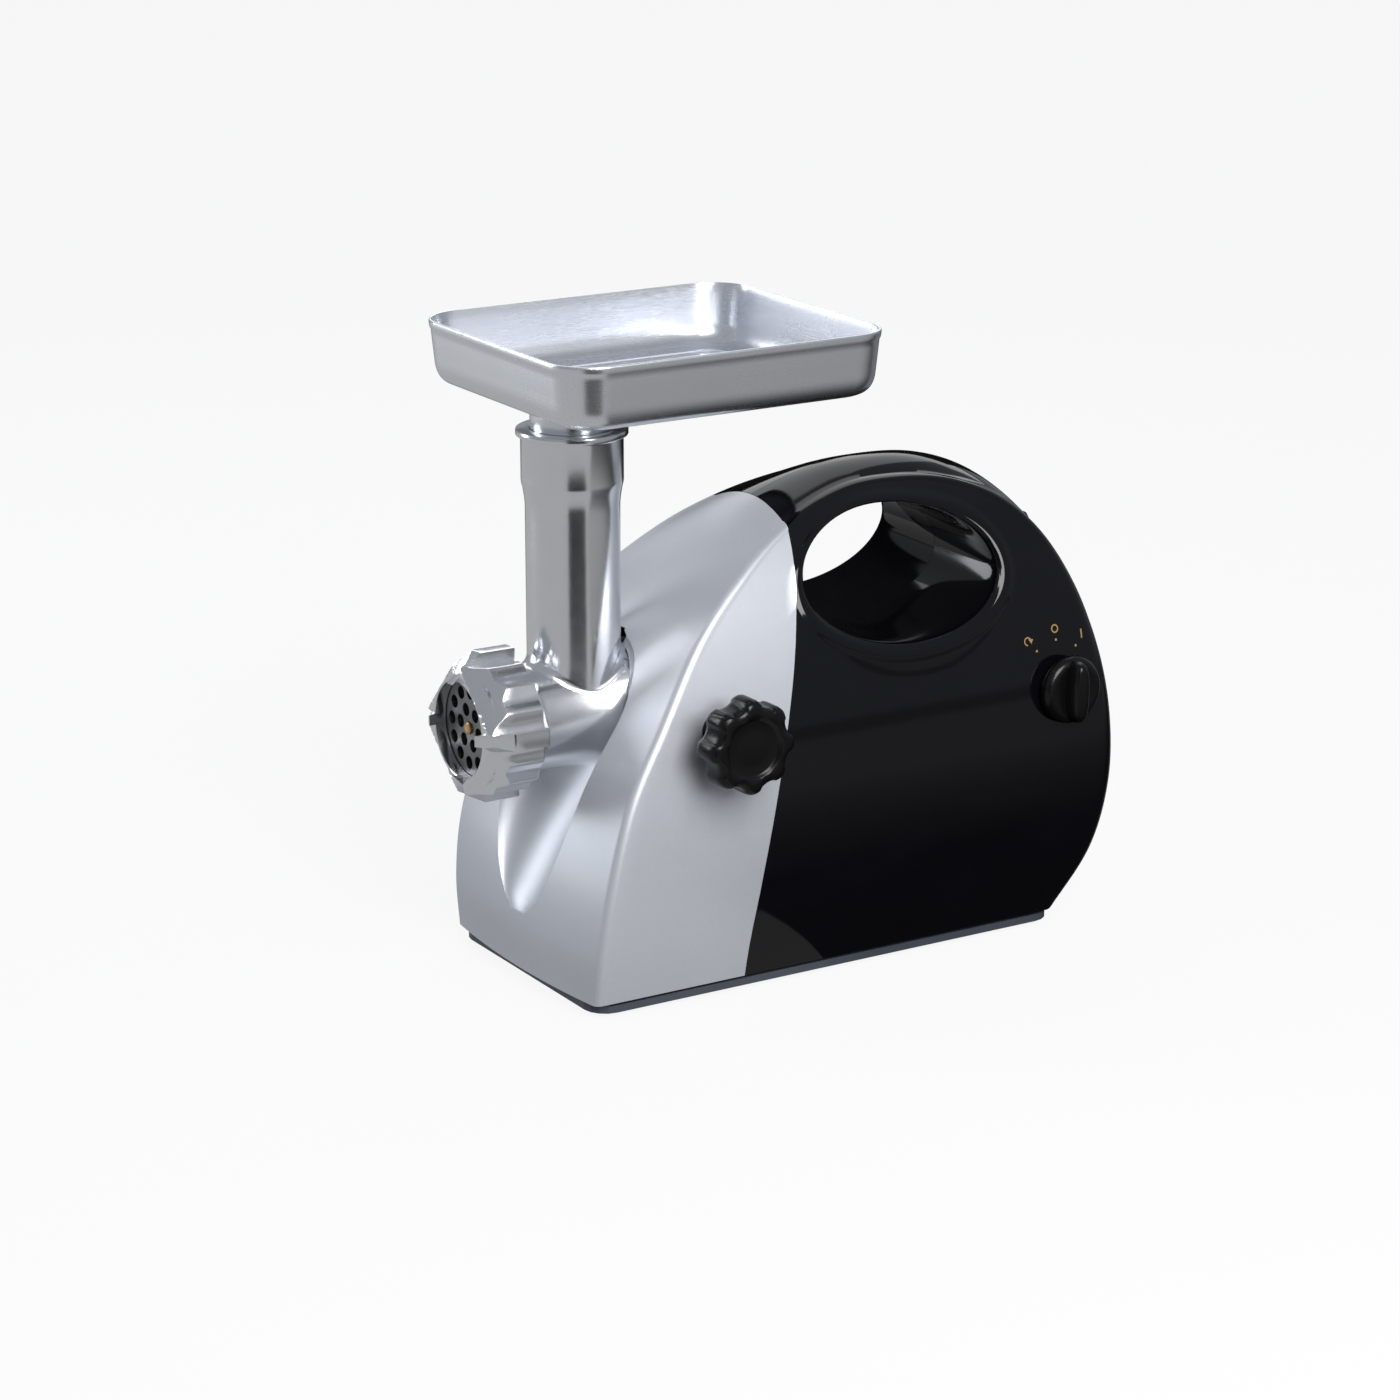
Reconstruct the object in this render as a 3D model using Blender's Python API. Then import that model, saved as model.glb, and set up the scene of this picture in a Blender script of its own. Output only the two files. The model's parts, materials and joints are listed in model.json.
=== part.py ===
"""Electric meat grinder: an egg-sided housing on a base, a geared motor, and a grinding head with a tray.

All sizes are in millimetres and turned into metres as each mesh is made. While it is built, x = 0 is the plane of
symmetry, -Y is the grinding end and z = 0 is the floor. The root empty then puts the origin under the middle of
the whole object.
"""

import math

import bmesh
import bpy
import numpy as np
from mathutils import Vector

for old in list(bpy.data.objects):
    bpy.data.objects.remove(old, do_unlink=True)

MM = 0.001
GAP = 0.3

# Housing
WALL = 3.0
SHELL_FOOT = 9.5
HALF_WIDTH = 91.0
WIDEST_Z = 75.0
EGG_HEIGHT = 215.0
FOOT_TUCK = 9.0
OUTLINE = [
    (-121.7, SHELL_FOOT), (-121.0, 42), (-115, 82), (-101, 127), (-79, 164), (-43, 214),
    (0, 249), (38, 268.5), (77, 279.5), (112, 282), (150, 278.5), (183, 266), (208, 243),
    (227, 207), (239, 166), (244, 125), (242, 85), (230, 45), (206, SHELL_FOOT),
]
SEAM = [(42, 310), (34, 268), (29, 240), (19, 198), (8, 156), (-4, 108), (-14, 64), (-20, 26), (-21, -20)]
TUNNEL_Y = 102.0
TUNNEL_Z = 231.0
TUNNEL_A = 66.0
TUNNEL_B = 37.0
TUNNEL_TILT = math.radians(-3)
RIM = 8.0

# Drive line
DRIVE_Z = 161.0
SOCKET_BORE = 30.6
SPIGOT_R = SOCKET_BORE - 0.6
SOCKET_WALL = 5.4
SOCKET_FRONT = -58.0
GEARBOX_Y = (-24.0, 18.0, 22.0)
MOTOR_RISE = 66.0
MOTOR_Z = DRIVE_Z - MOTOR_RISE
MODULE_1 = 1.25
MODULE_2 = 1.75
TEETH_MOTOR = 10
TEETH_WHEEL = 46
TEETH_PINION = 12
TEETH_OUTPUT = 44
CENTRES_1 = MODULE_1 * (TEETH_MOTOR + TEETH_WHEEL) / 2
CENTRES_2 = MODULE_2 * (TEETH_PINION + TEETH_OUTPUT) / 2
# The idle shaft stands where the two centre distances meet, on the -X side.
IDLE_Z = MOTOR_Z + (CENTRES_1**2 - CENTRES_2**2 + MOTOR_RISE**2) / (2 * MOTOR_RISE)
IDLE_X = -math.sqrt(CENTRES_1**2 - (IDLE_Z - MOTOR_Z) ** 2)
SHAFT_R = 8.0
IDLE_SHAFT_R = 4.0
MOTOR_SHAFT_R = 4.0
BEARING_R = 11.0
STATOR_R = 42.0
STATOR_BORE = 23.5
STACK_Y = (62.0, 112.0)
BRACKET_Y = (160.0, 164.0)

# Grinding head
BARREL_R = 31.5
BORE_R = 26.5
FLANGE_R = SOCKET_BORE + 7.4
TUBE_Y = -86.0
TUBE_R = 27.5
TUBE_BORE = 24.6
TUBE_TOP = 330.0
LIP_R = 32.5
HEAD_FRONT = -153.5
THREAD_R = 35.0
PLATE_R = 31.0
PLATE_Y = (-155.5, -150.5)
PLATE_HOLE_R = 3.9
RING_R = 40.5
RING_Y = (-163.0, -127.0)
RING_MOUTH_R = 28.5
FANG_R = 44.8
FANG_HALF = 5.2
FLIGHT_R = 25.7
FLIGHT_PITCH = 28.0

# Tray
TRAY_X = 93.0
TRAY_Y = (-138.7, 76.3)
TRAY_TOP = 385.0
TRAY_DEPTH = 39.0
TRAY_SHEET = 1.6
TRAY_CORNER = 26.0

# Controls
LOCK_Y = -37.5
LOCK_Z = DRIVE_Z
LOCK_SCREW_R = 4.0
KNOB_R = 26.3
KNOB_LOBE = 2.0
KNOB_STAND = 18.6
KNOB_DEEP = 19.5
KNOB_NECK = 12.0
SWITCH_Y = 206.5
SWITCH_Z = 151.0
DIAL_R = 21.0
DIAL_STAND = 3.7
DIAL_DEEP = 15.7

VENT_Z = 238.0
CORD_X = -32.0
CORD_Z = 30.0

# Scoop under the barrel
SCOOP_Z = (43.0, DRIVE_Z + 46.0)
SCOOP_HALF = 46.0
SCOOP_FLOOR = -66.0

# Base
BASE_Z = (3.0, 7.5)
FOOT_R = 9.0
FEET = [(66, -96), (-66, -96), (64, 168), (-64, 168)]

root = bpy.data.objects.new("grinder_root", None)
bpy.context.scene.collection.objects.link(root)
parts = []


def material(name, colour, roughness, metallic=0.0):
    made = bpy.data.materials.new(name)
    made.use_nodes = True
    shader = made.node_tree.nodes["Principled BSDF"]
    shader.inputs["Base Color"].default_value = (*colour, 1)
    shader.inputs["Roughness"].default_value = roughness
    shader.inputs["Metallic"].default_value = metallic
    made.diffuse_color = (*colour, 1)
    return made


def new_object(name, bm, look, origin):
    """The bmesh, drawn in millimetres, as an object whose own origin is at the given point."""
    bmesh.ops.recalc_face_normals(bm, faces=bm.faces[:])
    for vertex in bm.verts:
        vertex.co = (vertex.co - Vector(origin)) * MM
    mesh = bpy.data.meshes.new(name)
    bm.to_mesh(mesh)
    bm.free()
    obj = bpy.data.objects.new(name, mesh)
    bpy.context.scene.collection.objects.link(obj)
    obj.parent = root
    obj.location = Vector(origin) * MM
    if look is None:
        obj.hide_render = True
        obj.display_type = "WIRE"
    else:
        mesh.materials.append(look)
        parts.append(obj)
    return obj


def from_rings(name, rings, look, origin=(0, 0, 0), loop=False):
    """A skin over rings of the same number of points: capped at both ends, or joined end to end."""
    bm = bmesh.new()
    rows = [[bm.verts.new(point) for point in ring] for ring in rings]
    count = len(rings[0])
    pairs = list(zip(rows, rows[1:]))
    if loop:
        pairs.append((rows[-1], rows[0]))
    for first, second in pairs:
        for i in range(count):
            j = (i + 1) % count
            bm.faces.new((first[i], first[j], second[j], second[i]))
    if not loop:
        bm.faces.new(rows[0])
        bm.faces.new(rows[-1][::-1])
    return new_object(name, bm, look, origin)


def place(axis, centre, along, u, v):
    """The point at this distance along the axis and these two offsets across it."""
    if axis == "X":
        return (along, centre[1] + u, centre[2] + v)
    if axis == "Y":
        return (centre[0] + u, along, centre[2] + v)
    return (centre[0] + u, centre[1] + v, along)


def lathe(name, profile, axis, centre, look, steps=32, turn=0.05):
    """Spins a profile of (along, radius) pairs about the axis. One that never reaches radius 0 is a ring."""
    bm = bmesh.new()
    across = (math.cos(turn), math.sin(turn))
    points = [bm.verts.new(place(axis, centre, a, r * across[0], r * across[1])) for a, r in profile]
    edges = [bm.edges.new(pair) for pair in zip(points, points[1:])]
    if profile[0][1] > 0:
        edges.append(bm.edges.new((points[-1], points[0])))
    direction = {"X": (1, 0, 0), "Y": (0, 1, 0), "Z": (0, 0, 1)}[axis]
    bmesh.ops.spin(
        bm, geom=points + edges, cent=Vector(centre), axis=Vector(direction), angle=math.tau, steps=steps,
        use_merge=True,
    )
    bmesh.ops.remove_doubles(bm, verts=bm.verts[:], dist=0.001)
    bmesh.ops.dissolve_degenerate(bm, edges=bm.edges[:], dist=0.0005)
    # A flat end becomes one round face instead of a fan.
    along = "XYZ".index(axis)
    hubs = []
    for vertex in bm.verts:
        ends = [edge.other_vert(vertex).co for edge in vertex.link_edges]
        if len(ends) == steps and all(abs(end[along] - vertex.co[along]) < 1e-4 for end in ends):
            hubs.append(vertex)
    bmesh.ops.dissolve_verts(bm, verts=hubs)
    return new_object(name, bm, look, centre)


def prism(name, outline, axis, ends, look, origin=(0, 0, 0)):
    """An outline of (u, v) points across the axis, drawn out from the first end to the second."""
    rings = [[place(axis, (0, 0, 0), end, u, v) for u, v in outline] for end in ends]
    return from_rings(name, rings, look, origin)


def box(name, x, y, z, look, origin=(0, 0, 0), bevel=0.0):
    obj = prism(name, [(x[0], y[0]), (x[1], y[0]), (x[1], y[1]), (x[0], y[1])], "Z", z, look, origin)
    if bevel:
        soften(obj, bevel)
    return obj


def rod(name, axis, centre, ends, radius, look=None, steps=24):
    profile = [(ends[0], 0), (ends[0], radius), (ends[1], radius), (ends[1], 0)]
    return lathe(name, profile, axis, centre, look, steps)


def tube(name, axis, centre, ends, inner, outer, look=None, steps=24):
    profile = [(ends[0], inner), (ends[0], outer), (ends[1], outer), (ends[1], inner)]
    return lathe(name, profile, axis, centre, look, steps)


def soften(obj, width, segments=2):
    bevel = obj.modifiers.new("soft_edges", "BEVEL")
    bevel.width = width * MM
    bevel.segments = segments
    bevel.limit_method = "ANGLE"
    bevel.angle_limit = math.radians(35)


def combine(obj, others, operation):
    for other in others:
        modifier = obj.modifiers.new(operation.lower() + "_" + other.name, "BOOLEAN")
        modifier.operation = operation
        modifier.solver = "EXACT"
        modifier.object = other


def cut(obj, *others):
    combine(obj, others, "DIFFERENCE")


def join(obj, *others):
    combine(obj, others, "UNION")


def circle(radius, count, centre=(0, 0), start=0.0):
    angles = [start + math.tau * i / count for i in range(count)]
    return [(centre[0] + radius * math.cos(a), centre[1] + radius * math.sin(a)) for a in angles]


def smooth_curve(points, count):
    """A Catmull-Rom curve through the points, resampled at equal steps of its length."""
    p = np.array(points, float)
    p = np.vstack([2 * p[0] - p[1], p, 2 * p[-1] - p[-2]])
    fine = []
    for a, b, c, d in zip(p, p[1:], p[2:], p[3:]):
        for t in np.linspace(0, 1, 24, endpoint=False):
            bend = (2 * a - 5 * b + 4 * c - d) * t**2 + (3 * b - 3 * c + d - a) * t**3
            fine.append(0.5 * (2 * b + (c - a) * t + bend))
    fine = np.array([*fine, p[-2]])
    length = np.concatenate([[0], np.cumsum(np.linalg.norm(np.diff(fine, axis=0), axis=1))])
    at = np.linspace(0, length[-1], count)
    return np.column_stack([np.interp(at, length, fine[:, 0]), np.interp(at, length, fine[:, 1])])


def hull(points):
    """The convex outline round the points, anticlockwise."""
    ordered = sorted(set(points))
    sides = []
    for run in (ordered, ordered[::-1]):
        side = []
        for point in run:
            while len(side) > 1:
                (ax, ay), (bx, by) = side[-2], side[-1]
                if (bx - ax) * (point[1] - ay) - (by - ay) * (point[0] - ax) > 1e-9:
                    break
                side.pop()
            side.append(point)
        sides.extend(side[:-1])
    return sides


SILVER = material("satin_silver_paint", (0.40, 0.43, 0.48), 0.32, 0.6)
BLACK = material("gloss_black_shell", (0.012, 0.012, 0.014), 0.14)
KNOB_BLACK = material("knob_black", (0.015, 0.015, 0.016), 0.22)
SLATE = material("slate_base", (0.06, 0.07, 0.085), 0.5)
RUBBER = material("rubber", (0.02, 0.02, 0.02), 0.85)
POLISHED = material("polished_aluminium", (0.78, 0.79, 0.81), 0.16, 1.0)
SATIN = material("satin_aluminium", (0.72, 0.73, 0.74), 0.3, 1.0)
STEEL = material("ground_steel", (0.42, 0.42, 0.43), 0.35, 1.0)
DARK_STEEL = material("lamination_steel", (0.2, 0.2, 0.21), 0.5, 0.9)
COPPER = material("enamelled_copper", (0.6, 0.25, 0.1), 0.35, 0.8)
BRASS = material("sintered_bronze", (0.6, 0.45, 0.2), 0.4, 1.0)
NYLON = material("white_nylon", (0.75, 0.74, 0.68), 0.45)
GREY_CAST = material("gearbox_casting", (0.3, 0.31, 0.33), 0.55, 0.6)
FAN_BLACK = material("fan_plastic", (0.04, 0.04, 0.045), 0.5)
CARBON = material("carbon", (0.02, 0.02, 0.02), 0.6)
SWITCH_CREAM = material("switch_moulding", (0.5, 0.48, 0.42), 0.5)


# Housing skin


def half_width(z, inset=0.0):
    """Half the width of the egg-shaped section at this height."""
    z = np.asarray(z, float)
    up = np.clip((z - WIDEST_Z) / (EGG_HEIGHT - inset), 0, 0.999)
    down = np.clip((WIDEST_Z - z) / WIDEST_Z, 0, 1)
    return (HALF_WIDTH - inset) * np.sqrt(1 - up**2) - FOOT_TUCK * down**2


def off_side(z, stand, deep):
    """The two ends of a control that stands this far off the side wall at this height."""
    wall = float(half_width(z))
    return (wall + stand, wall + stand + deep)


KNOB_X = off_side(LOCK_Z, KNOB_STAND, KNOB_DEEP)
DIAL_X = off_side(SWITCH_Z, DIAL_STAND, DIAL_DEEP)


def tunnel_loop(angles, grow):
    """Points on the handle opening, grown outwards by this much."""
    a = (TUNNEL_A + grow) * np.cos(angles)
    b = (TUNNEL_B + grow) * np.sin(angles)
    y = TUNNEL_Y + a * math.cos(TUNNEL_TILT) - b * math.sin(TUNNEL_TILT)
    z = TUNNEL_Z + a * math.sin(TUNNEL_TILT) + b * math.cos(TUNNEL_TILT)
    return np.column_stack([y, z])


def housing_rings(up_count, foot_count, inset):
    """The rings of the skin: from the handle opening out over the side, round the edge and across the crown."""
    crest = smooth_curve(OUTLINE, up_count)
    run = np.gradient(crest, axis=0)
    normal = np.column_stack([-run[:, 1], run[:, 0]])
    # The walls stand square to the floor at their feet.
    normal[0] = (-1, 0)
    normal[-1] = (1, 0)
    normal /= np.linalg.norm(normal, axis=1)[:, None]
    along = np.linspace(0, 1, up_count)
    # The edge is crisp at the front, soft over the handle and fuller at the back.
    radius = np.interp(along, [0, 0.35, 0.5, 0.62, 0.75, 1], [5, 5, 3, 4, 10, 10])
    crown = np.interp(along, [0, 0.3, 0.5, 0.75, 1], [5, 6, 7.5, 10, 8])
    foot_z = SHELL_FOOT if inset == 0 else -12.0
    foot_y = np.linspace(crest[-1, 0], crest[0, 0], foot_count + 2)[1:-1]
    if inset:
        crest = crest - normal * inset
        foot_y = np.linspace(crest[-1, 0], crest[0, 0], foot_count)
    foot = np.column_stack([foot_y, np.full(len(foot_y), foot_z)])
    edge = np.vstack([crest, foot])
    zero = np.zeros((len(foot), 2))
    normal = np.vstack([normal, zero])
    radius = np.concatenate([radius, np.zeros(len(foot))]) * (0.6 if inset else 1.0)
    crown = np.concatenate([crown, np.zeros(len(foot))])
    radius = np.maximum(radius, 0.5)
    # Each outline point looks at the opening: halfway between its own direction and an even share of the turn.
    seen = np.unwrap(np.arctan2(edge[:, 1] - TUNNEL_Z, edge[:, 0] - TUNNEL_Y))
    even = np.linspace(seen[0], seen[0] - math.tau, len(edge) + 1)[:-1]
    angles = 0.5 * seen + 0.5 * even
    opening = tunnel_loop(angles, inset)
    reach = np.linalg.norm(edge - opening, axis=1)[:, None]
    outward = (edge - opening) / reach
    lip = np.minimum(RIM, 0.45 * reach)

    def ring(points, x):
        return [(px, py, max(pz, foot_z)) for px, (py, pz) in zip(x, points)]

    def side(points, lift=0.0):
        return ring(points, half_width(points[:, 1], inset) + lift)

    sharp_x = half_width(edge[:, 1], inset)
    low = edge - normal * radius[:, None]
    turn = 1 - math.sqrt(0.5)
    rings = []
    if inset:
        rings.append(ring(opening, np.zeros(len(edge))))
        rings.append(ring(opening + outward * 0.8, half_width(opening[:, 1], inset) * 0.6))
        rings.append(ring(opening + outward * 2.0, half_width(opening[:, 1], inset) - 7.0))
        rings.append(side(opening + outward * np.minimum(11.0, 0.6 * reach), -0.5))
    else:
        rings.append(ring(opening, np.zeros(len(edge))))
        rings.append(ring(opening + outward * 0.5, half_width(opening[:, 1]) * 0.6))
        rings.append(ring(opening + outward * 1.5, half_width(opening[:, 1]) - 4.5))
        rings.append(side(opening + outward * lip * 0.45, -0.2))
        rings.append(side(opening + outward * lip, 1.2))
        rings.append(side(opening + outward * lip * 1.7, 0.0))
        middle = opening + outward * lip * 1.7
        rings.append(side(middle + (low - middle) * 0.5))
    rings.append(ring(low, np.minimum(half_width(low[:, 1], inset), sharp_x + radius)))
    start_x = sharp_x - radius
    if not inset:
        rings.append(ring(edge - normal * (radius * turn)[:, None], sharp_x - radius * turn))
    for share in (1.0, 0.55):
        lift = crown * (1 - share**2)
        rings.append(ring(edge + normal * lift[:, None], start_x * share))
    rings.append(ring(edge + normal * crown[:, None], np.zeros(len(edge))))
    mirrored = [[(-x, y, z) for x, y, z in one] for one in rings[1:-1]]
    return rings + mirrored[::-1]


def face_y(z):
    """How far forward the middle of the front face stands at this height."""
    crest = smooth_curve(OUTLINE, 200)[:90]
    return np.interp(z, crest[:, 1], crest[:, 0]) - 5.5


def scoop(name, grow):
    """A hollow under the barrel: level ellipses centred on the front face, growing up to the socket."""
    rings = []
    widest = DRIVE_Z - 1
    for z in np.linspace(SCOOP_Z[0], SCOOP_Z[1], 12):
        reach = widest - SCOOP_Z[0] if z < widest else SCOOP_Z[1] - widest + 2
        width = SCOOP_HALF * math.sqrt(max(0.02, 1 - ((z - widest) / reach) ** 2))
        front = float(face_y(z))
        rise = min((z - SCOOP_Z[0]) / 82, 1)
        floor = front + 41 * rise**0.85 if rise < 1 else SCOOP_FLOOR + 0.5 * max(z - widest - 22, 0)
        depth = max(floor - front, 2.5)
        level = z + (grow if z == SCOOP_Z[1] else (-grow if z == SCOOP_Z[0] else 0))
        ellipse = circle(1.0, 16, (0, 0), 0.1)
        rings.append([(x * (width + grow), front + y * (depth + grow), level) for x, y in ellipse])
    return from_rings(name, rings, None)


outer_rings = housing_rings(32, 6, 0.0)
inner_rings = housing_rings(22, 5, WALL)
hollow_scoop = scoop("cut_scoop", 0.0)
wall_scoop = scoop("keep_scoop_wall", WALL)
seam = smooth_curve(SEAM, 9)
FAR = 180.0


def housing_part(name, look, region):
    body = from_rings(name, outer_rings, look, loop=True)
    hollow = from_rings("cut_hollow_" + name, inner_rings, None, loop=True)
    cut(hollow, wall_scoop)
    cut(body, hollow, *region)
    return body


def seam_block(name, side, shift):
    """Everything on one side of the seam between the silver front and the black shells."""
    points = [(y + shift, z) for y, z in seam]
    points += [(side * FAR * 2, points[-1][1]), (side * FAR * 2, points[0][1])]
    rings = [[(x, y, z) for y, z in points] for x in (-FAR, FAR)]
    return from_rings(name, rings, None)


behind_seam = seam_block("cut_behind_seam", 1, 0.0)
before_seam = seam_block("cut_before_seam", -1, GAP)
right_half = box("cut_right_half", (-GAP / 2, FAR), (-250, 320), (-30, 330), None)
left_half = box("cut_left_half", (-FAR, GAP / 2), (-250, 320), (-30, 330), None)

socket_hole = rod("cut_socket_hole", "Y", (0, 0, DRIVE_Z), (-130, -45), FLANGE_R + 0.7, None, 32)
key_hole = box("cut_key_window", (-8, 8), (-110, -40), (DRIVE_Z + 30, DRIVE_Z + 47), None)
lock_hole = rod("cut_lock_hole", "X", (0, LOCK_Y, LOCK_Z), (60, 120), 12.0, None, 20)
switch_hole = rod("cut_switch_hole", "X", (0, SWITCH_Y, SWITCH_Z), (60, 120), 6.5, None, 16)
spine = np.array(outer_rings[11])[:32, 1:]


def seat_on_back(level):
    """The middle of the crest's facet nearest this height on the back, and the facet's slope."""
    heights = (spine[:-1, 1] + spine[1:, 1]) / 2
    seat = 16 + int(np.argmin(np.abs(heights[16:] - level)))
    run = spine[seat + 1] - spine[seat]
    return (spine[seat] + spine[seat + 1]) / 2, math.atan2(run[1], run[0])


gland_seat, gland_slope = seat_on_back(CORD_Z)
gland_centre = (CORD_X, float(gland_seat[0]), float(gland_seat[1]))
gland_y = gland_centre[1]
cord_hole = rod("cut_cord_hole", "Y", gland_centre, (gland_y - 30, gland_y + 12), 8.0, None, 16)
cord_hole.rotation_euler = (gland_slope + math.pi / 2, 0, 0)
front_shell = housing_part("front_shell", SILVER, [lock_hole, behind_seam, hollow_scoop, socket_hole, key_hole])
left_shell = housing_part("left_shell", BLACK, [cord_hole, before_seam, right_half])
right_shell = housing_part("right_shell", BLACK, [switch_hole, before_seam, left_half])

# The cord gland is a rubber tube that stands square to the sloping back wall, with a flange outside it.
gland_profile = [(-22.0, 4.0), (-22.0, 7.6), (-0.9, 7.6), (0.1, 10.0), (4.1, 9.6), (4.6, 6.0), (4.6, 4.0)]
gland = lathe("cord_inlet", [(gland_y + a, r) for a, r in gland_profile], "Y", gland_centre, RUBBER, 20)
gland.rotation_euler = cord_hole.rotation_euler

# Base


def base_outline(inset):
    """The plan of the base: the shells' own footprint, drawn in by this much, with rounded corners."""
    front = OUTLINE[0][0] + inset
    back = OUTLINE[-1][0] - inset
    wide = float(half_width(SHELL_FOOT)) - inset
    corner = 14.0
    points = []
    for cx, cy, start in ((wide - corner, back - corner, 0), (corner - wide, back - corner, 90),
                          (corner - wide, front + corner, 180), (wide - corner, front + corner, 270)):
        for step in range(5):
            a = math.radians(start + 22.5 * step)
            points.append((cx + corner * math.cos(a), cy + corner * math.sin(a)))
    return points


base_plate = prism("base_plate", base_outline(1.5), "Z", BASE_Z, SLATE)
upstand = prism("add_upstand", base_outline(WALL + 4.5), "Z", (BASE_Z[1] - 1, 15), None)
upstand_core = prism("cut_upstand_core", base_outline(WALL + 6.5), "Z", (BASE_Z[1], 20), None)
cut(upstand, upstand_core)
join(base_plate, upstand)
SCREW_X = 30.0
SCREW_Y = (11.0, 172.0)
pads = []
for i, y in enumerate(SCREW_Y):
    pads.append(box(f"add_pad_{i}", (-42, 42), (y - 9, y + 9), (BASE_Z[1] - 1, 12.0), None))
join(base_plate, *pads)
vents = [box(f"cut_vent_{i}", (-26, 26), (58 + 11 * i, 63 + 11 * i), (0, 20), None) for i in range(6)]
cut(base_plate, *vents)

number = 0
for x, y in FEET:
    number += 1
    cut(base_plate, rod(f"cut_foot_hole_{number}", "Z", (x, y, 0), (0, 10), 3.8, None, 12))
    lathe(
        f"foot_{number}",
        [(0, 0), (0, FOOT_R - 1), (1, FOOT_R), (BASE_Z[0] - GAP, FOOT_R - 0.6), (BASE_Z[0] - GAP, 3.5),
         (6.8, 3.5), (6.8, 0)],
        "Z", (x, y, 0), RUBBER, 14,
    )

number = 0
for y in SCREW_Y:
    for x in (SCREW_X, -SCREW_X):
        number += 1
        step = [(2, 0), (2, 4.4), (6, 4.4), (6, 2.3), (17, 2.3), (17, 0)]
        cut(base_plate, lathe(f"cut_screw_hole_{number}", step, "Z", (x, y, 0), None, 12))
        lathe(
            f"base_screw_{number}",
            [(3.4, 0), (3.4, 4.0), (5.7, 4.0), (5.7, 2.0), (16.2, 2.0), (16.2, 0)],
            "Z", (x, y, 0), STEEL, 8,
        )


# Gear train


def gear_outline(teeth, module, phase, centre):
    """Straight-flanked teeth, thinned for running clearance. A tooth centre lies at the phase angle.

    A pinion has a flat between its teeth. A large wheel has one point there, set a little deeper.
    """
    pitch = module * teeth / 2
    tip = pitch + 0.9 * module
    half = 0.35 * math.pi * module / 4
    points = []
    for k in range(teeth):
        mid = phase + math.tau * k / teeth
        if teeth > 20:
            points.append((pitch - 1.6 * module, mid - math.pi / teeth))
        else:
            foot = pitch - 1.2 * module
            points.append((foot, mid - 0.30 * math.tau / teeth))
        points.append((tip, mid - half / tip))
        points.append((tip, mid + half / tip))
        if teeth <= 20:
            points.append((foot, mid + 0.30 * math.tau / teeth))
    return [(centre[0] + r * math.cos(a), centre[1] + r * math.sin(a)) for r, a in points]


def gear(name, teeth, module, phase, centre, ends, bore, look):
    """A toothed ring about a shaft along Y, its own origin on the shaft."""
    x, z = centre
    body = prism(name, gear_outline(teeth, module, phase, centre), "Y", ends, look, (x, ends[0], z))
    cut(body, rod("cut_bore_" + name, "Y", (x, 0, z), (ends[0] - 5, ends[1] + 5), bore, None, 20))
    return body


to_idle = math.atan2(IDLE_Z - MOTOR_Z, IDLE_X)
to_output = math.atan2(DRIVE_Z - IDLE_Z, -IDLE_X)
STAGE_1 = (4.0, 14.0)
STAGE_2 = (-13.0, 1.5)
pinion_face = (STAGE_1[0] - 0.5, STAGE_1[1] + 0.5)
gear("motor_pinion", TEETH_MOTOR, MODULE_1, to_idle, (0, MOTOR_Z), pinion_face, 3.3, STEEL)
idle = (IDLE_X, IDLE_Z)
half_tooth = math.pi / TEETH_WHEEL
wheel_turn = to_idle + math.pi + half_tooth
gear("idle_wheel", TEETH_WHEEL, MODULE_1, wheel_turn, idle, STAGE_1, IDLE_SHAFT_R + GAP, NYLON)
gear("idle_pinion", TEETH_PINION, MODULE_2, to_output, idle, STAGE_2, IDLE_SHAFT_R + GAP, STEEL)
gear(
    "output_wheel", TEETH_OUTPUT, MODULE_2, to_output + math.pi + math.pi / TEETH_OUTPUT, (0, DRIVE_Z),
    (STAGE_2[0] + 0.5, STAGE_2[1] - 0.5), SHAFT_R + GAP, NYLON,
)

# The drive shaft ends in a six-sided socket for the auger.
HEX_R = 7.6
output_shaft = lathe(
    "output_shaft",
    [(-46, 0), (-46, 11), (-26.6, 11), (-26.6, SHAFT_R), (21.5, SHAFT_R), (21.5, 0)],
    "Y", (0, 0, DRIVE_Z), STEEL, 18,
)
hex_socket = prism("cut_hex_socket", circle(HEX_R, 6, (0, DRIVE_Z)), "Y", (-50, -30), None)
cut(output_shaft, hex_socket)
rod("idle_shaft", "Y", (IDLE_X, 0, IDLE_Z), (-23.0, 21.0), IDLE_SHAFT_R, STEEL, 16)

# Gearbox: a cup that carries the head socket and the bearings, and the wall that closes it.
case_points = []
for centre, radius in (((0, DRIVE_Z), 45), ((IDLE_X, IDLE_Z), 34), ((0, MOTOR_Z), 15)):
    case_points += [(round(x, 4), round(z, 4)) for x, z in circle(radius, 24, centre)]
case_outline = hull(case_points)
mid_x = sum(x for x, z in case_outline) / len(case_outline)
mid_z = sum(z for x, z in case_outline) / len(case_outline)


def shrink(outline, amount):
    """Moves each outline point towards the middle by this much."""
    made = []
    for x, z in outline:
        away = math.hypot(x - mid_x, z - mid_z)
        made.append((x - (x - mid_x) * amount / away, z - (z - mid_z) * amount / away))
    return made


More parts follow.
